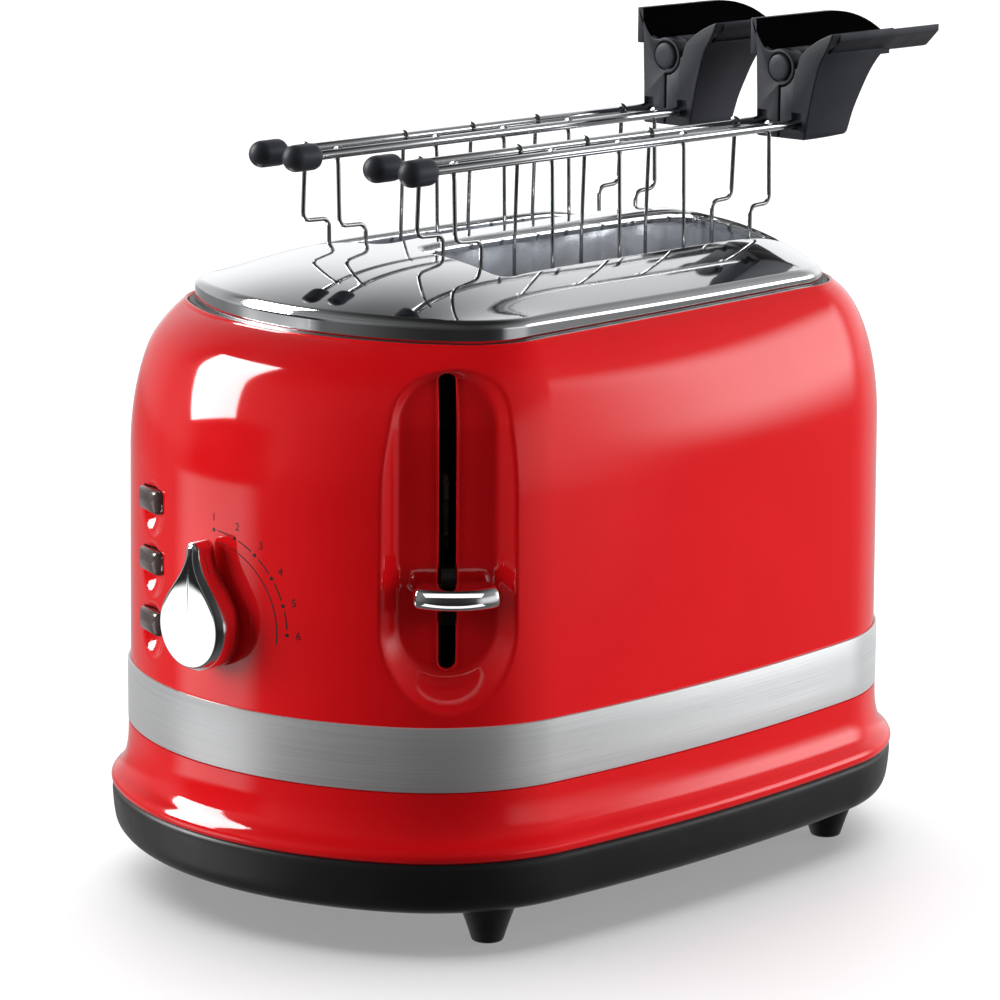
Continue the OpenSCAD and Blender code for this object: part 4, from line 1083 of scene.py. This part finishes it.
def tong(t, s):
    x0 = s * SLOT_X

    def grip(a, b, h):
        return (x0 + a, TONG_Y + h, b)

    def side(a, b, c):
        return (x0 + c, TONG_Y + a, b)

    def axle(x, y, h):
        return (x0 + x, TONG_Y + h, PIVOT_Z + y)

    def bore(r, h0, h1):
        return scratch(*lathe([(r, h0), (r, h1)], 48, axle))

    def notch(d):
        x = x0 + d * RAIL_DX
        return scratch(*box(x - 2.2, TONG_Y - 2, RAIL_Z - 2.2, x + 2.2, TONG_Y + 2.2, RAIL_Z + 3.6))

    # half A: panel, lip and bar on the +X side
    v, f = slab(A_LOOP, 0.0, 40.0, grip)
    ga = make("tong_%s_grip_a_half" % t, v, f, GRIP_BLACK, "tong_%s_jaw_a" % t, ["tong_%s_grip_a" % t], angle=34)
    boolean(ga, scratch(*prism(GRIP_SIDE, -40, 40, side)), "INTERSECT")
    boolean(ga, scratch(*prism([(26, 263.3), (22.6, 263.3), (17.8, 259.6), (17.4, 259.2), (26, 258.7)], 0.9, 45, grip)))
    boolean(ga, scratch(*prism([(-2, 258.4), (13.2, 258.4), (15.2, 259.9), (18.4, 263.0), (20.6, 265.0), (20.6, 272), (-2, 272)], 1.5, 45, grip)))
    bar = [(22.35, 265.75), (22.45, 265.4), (22.4, 263.6), (22.1, 263.2), (17.4, 258.3), (16.2, 257.9), (15.0, 258.9), (15.2, 259.9), (18.4, 263.0), (20.6, 265.0), (21.6, 265.6)]
    boolean(ga, scratch(*slab(bar, 4.0, 57.4, grip, 0.2, 0.3)), "UNION")
    boolean(ga, scratch(*slab([(15.2, 256.6), (17.2, 256.8), (17.2, 259.2), (15.2, 259.2)], 31.0, 37.2, grip, 0.2, 0.2)), "UNION")
    boolean(ga, scratch(*lathe([(5.9, 7.2), (6.2, 7.5), (6.2, 14.5), (5.9, 14.8)], 48, axle)), "UNION")
    boolean(ga, bore(6.75, -1.0, 6.8))
    boolean(ga, bore(6.75, 15.2, 50.0))
    boolean(ga, bore(3.05, -2.0, 40.0))
    boolean(ga, notch(1))
    soften(ga, 0.28)
    finish_mesh(ga.data, True, 34)
    # half B: wing on the -X side, with the collar of the pin
    v, f = slab(B_LOOP + [(-0.35, 258.7)], 3.0, 40.0, grip, 0.0, 0.3)
    gb = make("tong_%s_grip_b_half" % t, v, f, GRIP_BLACK, "tong_%s_jaw_b" % t, ["tong_%s_grip_b" % t], angle=34)
    boolean(gb, scratch(*slab(B_FRONT, 0.0, 6.4, grip)), "UNION")
    boolean(gb, scratch(*prism(GRIP_SIDE, -40, 40, side)), "INTERSECT")
    boolean(gb, scratch(*prism([(-10.5, 272), (-10.3, 262.0), (-9.6, 259.4), (-8.0, 258.4), (3, 258.4), (3, 272)], 1.5, 45, grip)))
    boolean(gb, scratch(*prism(WING, -12.85, -10.5, side)), "UNION")
    boolean(gb, scratch(*lathe([(5.9, 15.6), (6.2, 15.9), (6.2, 22.1), (5.9, 22.4)], 48, axle)), "UNION")
    boolean(gb, bore(6.75, 6.9, 15.1))
    boolean(gb, bore(3.05, -2.0, 40.0))
    boolean(gb, bore(5.15, -2.0, 1.3))
    boolean(gb, notch(-1))
    soften(gb, 0.28)
    finish_mesh(gb.data, True, 34)
    # pin with its domed head
    head = [(0, -1.05), (2.0, -1.02), (3.4, -0.92), (4.1, -0.75), (4.4, -0.5), (4.5, -0.1), (4.5, 0.9), (3.0, 1.0), (3.0, 21.7), (2.7, 22.0), (0, 22.0)]
    v, f = lathe(head, 48, axle)
    make("tong_%s_pin_head" % t, v, f, GRIP_BLACK, "tong_%s" % t, ["tong_%s_pin" % t], angle=40)
    for j, d in (("a", 1), ("b", -1)):
        jaw = "tong_%s_jaw_%s" % (t, j)
        xr = x0 + d * RAIL_DX
        v, f = lathe([(0, -96.0), (1.2, -95.9), (RAIL_R, -95.5), (RAIL_R, -30.0), (RAIL_R, 30.0), (RAIL_R, 98.8), (1.3, 99.2), (0, 99.2)], 28, lambda x, y, h: (xr + x, h, RAIL_Z + y))
        make("tong_%s_rail_%s_rod" % (t, j), v, f, RAIL, jaw, ["tong_%s_rail_%s" % (t, j)], angle=50)
        nose = [(4.3 * math.sin(a), -101.5 + 4.3 * (1 - math.cos(a))) for a in np.linspace(0, math.pi / 2, 14)]
        prof = nose + [(4.3, -94.0), (4.3, -91.0), (4.22, -90.0), (3.95, -89.3), (3.5, -88.75), (3.0, -88.45), (2.6, -88.4), (1.56, -88.4), (1.52, -88.7), (1.52, -92.4), (0, -92.4)]
        v, f = lathe(prof, 40, lambda x, y, h: (xr + x, h, RAIL_Z + y))
        make("tong_%s_cap_%s_bulb" % (t, j), v, f, GRIP_BLACK, jaw, ["tong_%s_cap_%s" % (t, j)], angle=45)
        v, f = cage_wires(x0, d)
        make("tong_%s_cage_%s_wires" % (t, j), v, f, WIRE, jaw, ["tong_%s_cage_%s" % (t, j)], angle=60)


def hook(x0, d, y):
    """The end of a cage wire bent over its rail, from the tip down to the straight part."""
    xr, r = x0 + d * RAIL_DX, RAIL_R + 0.25
    pts = []
    for a in np.linspace(62, 262, 18):
        pts.append((xr + d * r * math.cos(math.radians(a)), y, RAIL_Z + r * math.sin(math.radians(a))))
    return pts


def cage_wires(x0, d):
    low = x0 + d * (RAIL_DX + (0.45 if d > 0 else 1.0))
    top = RAIL_Z - RAIL_R - WIRE_R - 0.6
    (y1, c1, z1), (y2, c2, z2) = (-78.4, -66.6, 212.0), (73.2, 63.4, 210.0)
    xr = x0 + d * RAIL_DX
    run = [(xr, y1, top - 0.6), (low, y1, z1), (low, c1, z1 - 0.4), (low, c1, 76.0), (low, c2, 76.0), (low, c2, z2 - 0.4), (low, y2, z2), (xr, y2, top - 0.6)]
    path = np.concatenate([hook(x0, d, y1), rounded_path(run, 2.9, 8), np.array(hook(x0, d, y2))[::-1]])
    parts = [sweep(path, WIRE_R, 14)]
    for y in (-33.6, -1.7, 29.8):
        p = np.concatenate([hook(x0, d, y), [(xr + d * 0.02, y, top - 0.6), (low, y, 205.0), (low, y, 150.0), (low, y, 76.6)]])
        parts.append(sweep(p, WIRE_R - 0.08, 12))
    parts.append(sweep([(low, c1 - 0.3, 135.0), (low, -2.0, 135.0), (low, c2 + 0.3, 135.0)], 0.58, 10))
    return join(parts)


for t, s in (("r", 1), ("l", -1)):
    tong(t, s)


# ------------------------------------------------------------------ pieces kept as they are
KEPT = {"base_screws": STEEL, "front_frame": STEEL, "rear_frame": STEEL, "reflector_r": LINER, "reflector_l": LINER, "element_r": MICA, "element_c": MICA,
        "element_l": MICA, "guide_rod_r": RAIL, "guide_rod_l": RAIL, "guard_r_out": WIRE, "guard_r_in": WIRE, "guard_l_in": WIRE, "guard_l_out": WIRE,
        "control_board": BOARD, "solenoid": COIL, "timer_pot": BASE_BLACK, "cord_gland": BASE_BLACK, "carriage": STEEL, "lever_arm": ARM,
        "lifter_r": STEEL, "lifter_l": STEEL, "return_spring": STEEL, "knob_shaft": STEEL, "crumb_tray": STEEL}
for name, material in KEPT.items():
    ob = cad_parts[name]
    ob.data.materials.clear()
    ob.data.materials.append(material)


# ------------------------------------------------------------------ camera
def look(cam, target, yaw, pitch, roll, dist):
    y, p, r = (math.radians(a) for a in (yaw, pitch, roll))
    back = Vector((math.sin(y) * math.cos(p), -math.cos(y) * math.cos(p), math.sin(p)))
    right = Vector((math.cos(y), math.sin(y), 0))
    up = back.cross(right)
    c, s = math.cos(r), math.sin(r)
    r2, u2 = right * c + up * s, up * c - right * s
    cam.matrix_world = Matrix.Translation(Vector(target) + back * dist) @ Matrix((r2, u2, back)).transposed().to_4x4()


cam = link(bpy.data.objects.new("camera", bpy.data.cameras.new("camera")))
cam.data.sensor_width = 36.0
cam.data.lens = 161.119
cam.data.clip_start, cam.data.clip_end = 0.05, 60.0
look(cam, (-0.005639, -0.015377, 0.115857), 43.0, 11.745, 0.444, 1.4738857)
SCENE.camera = cam

# ------------------------------------------------------------------ stage
def stage_floor():
    me = bpy.data.meshes.new("floor")
    me.from_pydata([(-9, -9, 0), (9, -9, 0), (9, 9, 0), (-9, 9, 0)], [], [(0, 1, 2, 3)])
    ob = link(bpy.data.objects.new("floor", me))
    m, t, b = new_material("floor_white")
    t.links.new(ramp(t, noise(t, 3.0, 2.0), [(0.3, (0.56, 0.56, 0.565)), (0.7, (0.58, 0.58, 0.585))]), b.inputs["Base Color"])
    b.inputs["Roughness"].default_value = 0.5
    b.inputs["Specular IOR Level"].default_value = 0.1
    b.inputs["Emission Color"].default_value = (1.0, 1.0, 1.0, 1.0)
    b.inputs["Emission Strength"].default_value = 0.29
    me.materials.append(m)
    ob.visible_glossy = False
    ob.visible_diffuse = False
    return ob


FLOOR = stage_floor()
FLOOR_ONLY = bpy.data.collections.new("floor_only")
FLOOR_ONLY.objects.link(FLOOR)
OBJECT_ONLY = bpy.data.collections.new("object_only")
OBJECT_ONLY.objects.link(FLOOR)
OBJECT_ONLY.collection_objects[0].light_linking.link_state = "EXCLUDE"


def softbox(name, at, side, tall, w, h, power):
    """A soft box; side and tall are the directions of its edges."""
    d = bpy.data.lights.new(name, "AREA")
    d.shape = "RECTANGLE"
    d.size, d.size_y = w, h
    d.energy = power
    ob = link(bpy.data.objects.new(name, d))
    ob.location = at
    x = Vector(side).normalized()
    z = x.cross(Vector(tall)).normalized()
    ob.rotation_euler = Matrix((x, z.cross(x), z)).transposed().to_euler()
    ob.light_linking.receiver_collection = OBJECT_ONLY
    return ob


left_box = softbox("left_box", (-1.55, -0.89, 1.07), (0.72, -0.59, 0.357), (0.0656, 0.652, 0.756), 0.8, 1.45, 64)
left_box.visible_diffuse = False
GLOSS_ONLY = bpy.data.collections.new("gloss_only")
for ob in (FLOOR, TRIM):
    GLOSS_ONLY.objects.link(ob)
for c in GLOSS_ONLY.collection_objects:
    c.light_linking.link_state = "EXCLUDE"
left_box.light_linking.receiver_collection = GLOSS_ONLY
TAB_ONLY = bpy.data.collections.new("tab_only")
TAB_ONLY.objects.link(TAB)
softbox("tab_upper", (0.85, -0.85, 0.95), (0.7, 0.714, 0.0), (-0.4, 0.4, 0.82), 3.2, 0.8, 11.3).light_linking.receiver_collection = TAB_ONLY
softbox("tab_lower", (0.85, -0.85, -0.6), (0.7, 0.714, 0.0), (0.4, -0.4, 0.82), 3.2, 0.8, 11.3).light_linking.receiver_collection = TAB_ONLY


def sun(name, az, el, strength, angle_deg, lit):
    """A broad even light from a direction, left out of reflections."""
    d = bpy.data.lights.new(name, "SUN")
    d.energy = strength
    d.angle = math.radians(angle_deg)
    ob = link(bpy.data.objects.new(name, d))
    a, e = math.radians(az), math.radians(el)
    ob.rotation_euler = Vector((math.cos(a) * math.cos(e), math.sin(a) * math.cos(e), math.sin(e))).to_track_quat("Z", "Y").to_euler()
    ob.visible_glossy = False
    ob.light_linking.receiver_collection = lit
    return ob


sun("floor_light", 146, 64, 5.0, 88, FLOOR_ONLY)
sun("left_fill", -132, 10, 3.9, 50, OBJECT_ONLY)
sun("right_fill", 48, 9, 3.9, 45, OBJECT_ONLY)
sun("front_fill", -48, 8, 0.4, 90, OBJECT_ONLY)
SLOTS_ONLY = bpy.data.collections.new("slots_only")
for ob in LINERS:
    SLOTS_ONLY.objects.link(ob)
sun("slot_light", -30, 52, 2.4, 50, SLOTS_ONLY).visible_glossy = True

# the studio walls: pale behind the object, darker towards the front and overhead, with a panel at the right and a low card at the left
world = bpy.data.worlds.new("studio")
SCENE.world = world
world.use_nodes = True
wt = world.node_tree
wt.nodes.clear()
DIR = wt.nodes.new("ShaderNodeTexCoord").outputs["Generated"]


def toward(az, el):
    a, e = math.radians(az), math.radians(el)
    return Vector((math.cos(a) * math.cos(e), math.sin(a) * math.cos(e), math.sin(e)))


def w_dot(v):
    n = wt.nodes.new("ShaderNodeVectorMath")
    n.operation = "DOT_PRODUCT"
    wt.links.new(DIR, n.inputs[0])
    n.inputs[1].default_value = v
    return n.outputs["Value"]


def w_math(op, a, b=None):
    n = wt.nodes.new("ShaderNodeMath")
    n.operation = op
    for s, x in zip(n.inputs, (a, b)):
        if x is None:
            continue
        if isinstance(x, (int, float)):
            s.default_value = x
        else:
            wt.links.new(x, s)
    return n.outputs[0]


def w_curve(x, stops):
    """A smooth curve through (x, value) stops, x from -1 to 1."""
    n = wt.nodes.new("ShaderNodeFloatCurve")
    m = n.mapping
    m.extend = "HORIZONTAL"
    c = m.curves[0]
    top = max(v for _, v in stops)
    while len(c.points) < len(stops):
        c.points.new(0.5, 0.5)
    for p, (a, v) in zip(c.points, stops):
        p.location = ((a + 1) / 2, v / top)
    m.update()
    wt.links.new(w_math("MULTIPLY_ADD", x, 0.5), n.inputs["Value"])
    n.inputs["Value"].links[0].from_node.inputs[2].default_value = 0.5
    return w_math("MULTIPLY", n.outputs[0], top)


def w_panel(az, el, half_w, half_h, soft_w, soft_h, amount):
    """A soft-edged panel in a direction; sizes in degrees."""
    c = toward(az, el)
    u = Vector((-math.sin(math.radians(az)), math.cos(math.radians(az)), 0))
    v = c.cross(u)
    depth = w_math("MAXIMUM", w_dot(c), 0.02)
    out = None
    for axis, half, soft in ((u, half_w, soft_w), (v, half_h, soft_h)):
        k = w_math("ABSOLUTE", w_math("DIVIDE", w_dot(axis), depth))
        n = wt.nodes.new("ShaderNodeMapRange")
        n.interpolation_type = "SMOOTHSTEP"
        n.inputs["From Min"].default_value = math.tan(math.radians(max(half - soft, 0.01)))
        n.inputs["From Max"].default_value = math.tan(math.radians(half + soft))
        n.inputs["To Min"].default_value = 1.0
        n.inputs["To Max"].default_value = 0.0
        wt.links.new(k, n.inputs["Value"])
        out = n.outputs[0] if out is None else w_math("MULTIPLY", out, n.outputs[0])
    return w_math("MULTIPLY", out, amount)


front = w_curve(w_dot((0.682, -0.731, 0.0)), [(-1.0, 1.08), (-0.77, 1.04), (-0.5, 0.56), (-0.2, 0.4), (0.1, 0.33), (0.5, 0.2), (0.8, 0.06), (1.0, 0.03)])
height = w_curve(w_dot((0.0, 0.0, 1.0)), [(-1.0, 0.35), (-0.3, 0.45), (-0.1, 0.6), (0.05, 1.0), (0.3, 1.0), (0.45, 0.9), (0.57, 0.7), (0.71, 0.4), (0.82, 0.2), (0.93, 0.07), (1.0, 0.04)])
glow = w_math("MULTIPLY", front, height)
glow = w_math("ADD", glow, w_panel(57, 9, 13, 11.5, 9, 5, 3.4))
glow = w_math("ADD", glow, w_panel(22, 0, 20, 10, 8, 6, 0.6))
glow = w_math("MAXIMUM", w_math("ADD", glow, w_panel(172, 14, 16, 24, 13, 12, -0.5)), 0.02)
glow = w_math("MAXIMUM", w_math("ADD", glow, w_panel(-134, 3, 17, 11, 6, 3, -0.3)), 0.02)
glow = w_math("ADD", glow, w_panel(-140, -21.5, 17, 11.5, 6, 1.5, 1.35))
studio = wt.nodes.new("ShaderNodeBackground")
studio.inputs["Color"].default_value = (0.985, 0.992, 1.0, 1.0)
wt.links.new(glow, studio.inputs["Strength"])
plain = wt.nodes.new("ShaderNodeBackground")
plain.inputs["Color"].default_value = (1.0, 1.0, 1.0, 1.0)
seen = wt.nodes.new("ShaderNodeMixShader")
wt.links.new(wt.nodes.new("ShaderNodeLightPath").outputs["Is Camera Ray"], seen.inputs[0])
wt.links.new(studio.outputs[0], seen.inputs[1])
wt.links.new(plain.outputs[0], seen.inputs[2])
wt.links.new(seen.outputs[0], wt.nodes.new("ShaderNodeOutputWorld").inputs["Surface"])
SCENE.view_settings.view_transform = "Standard"
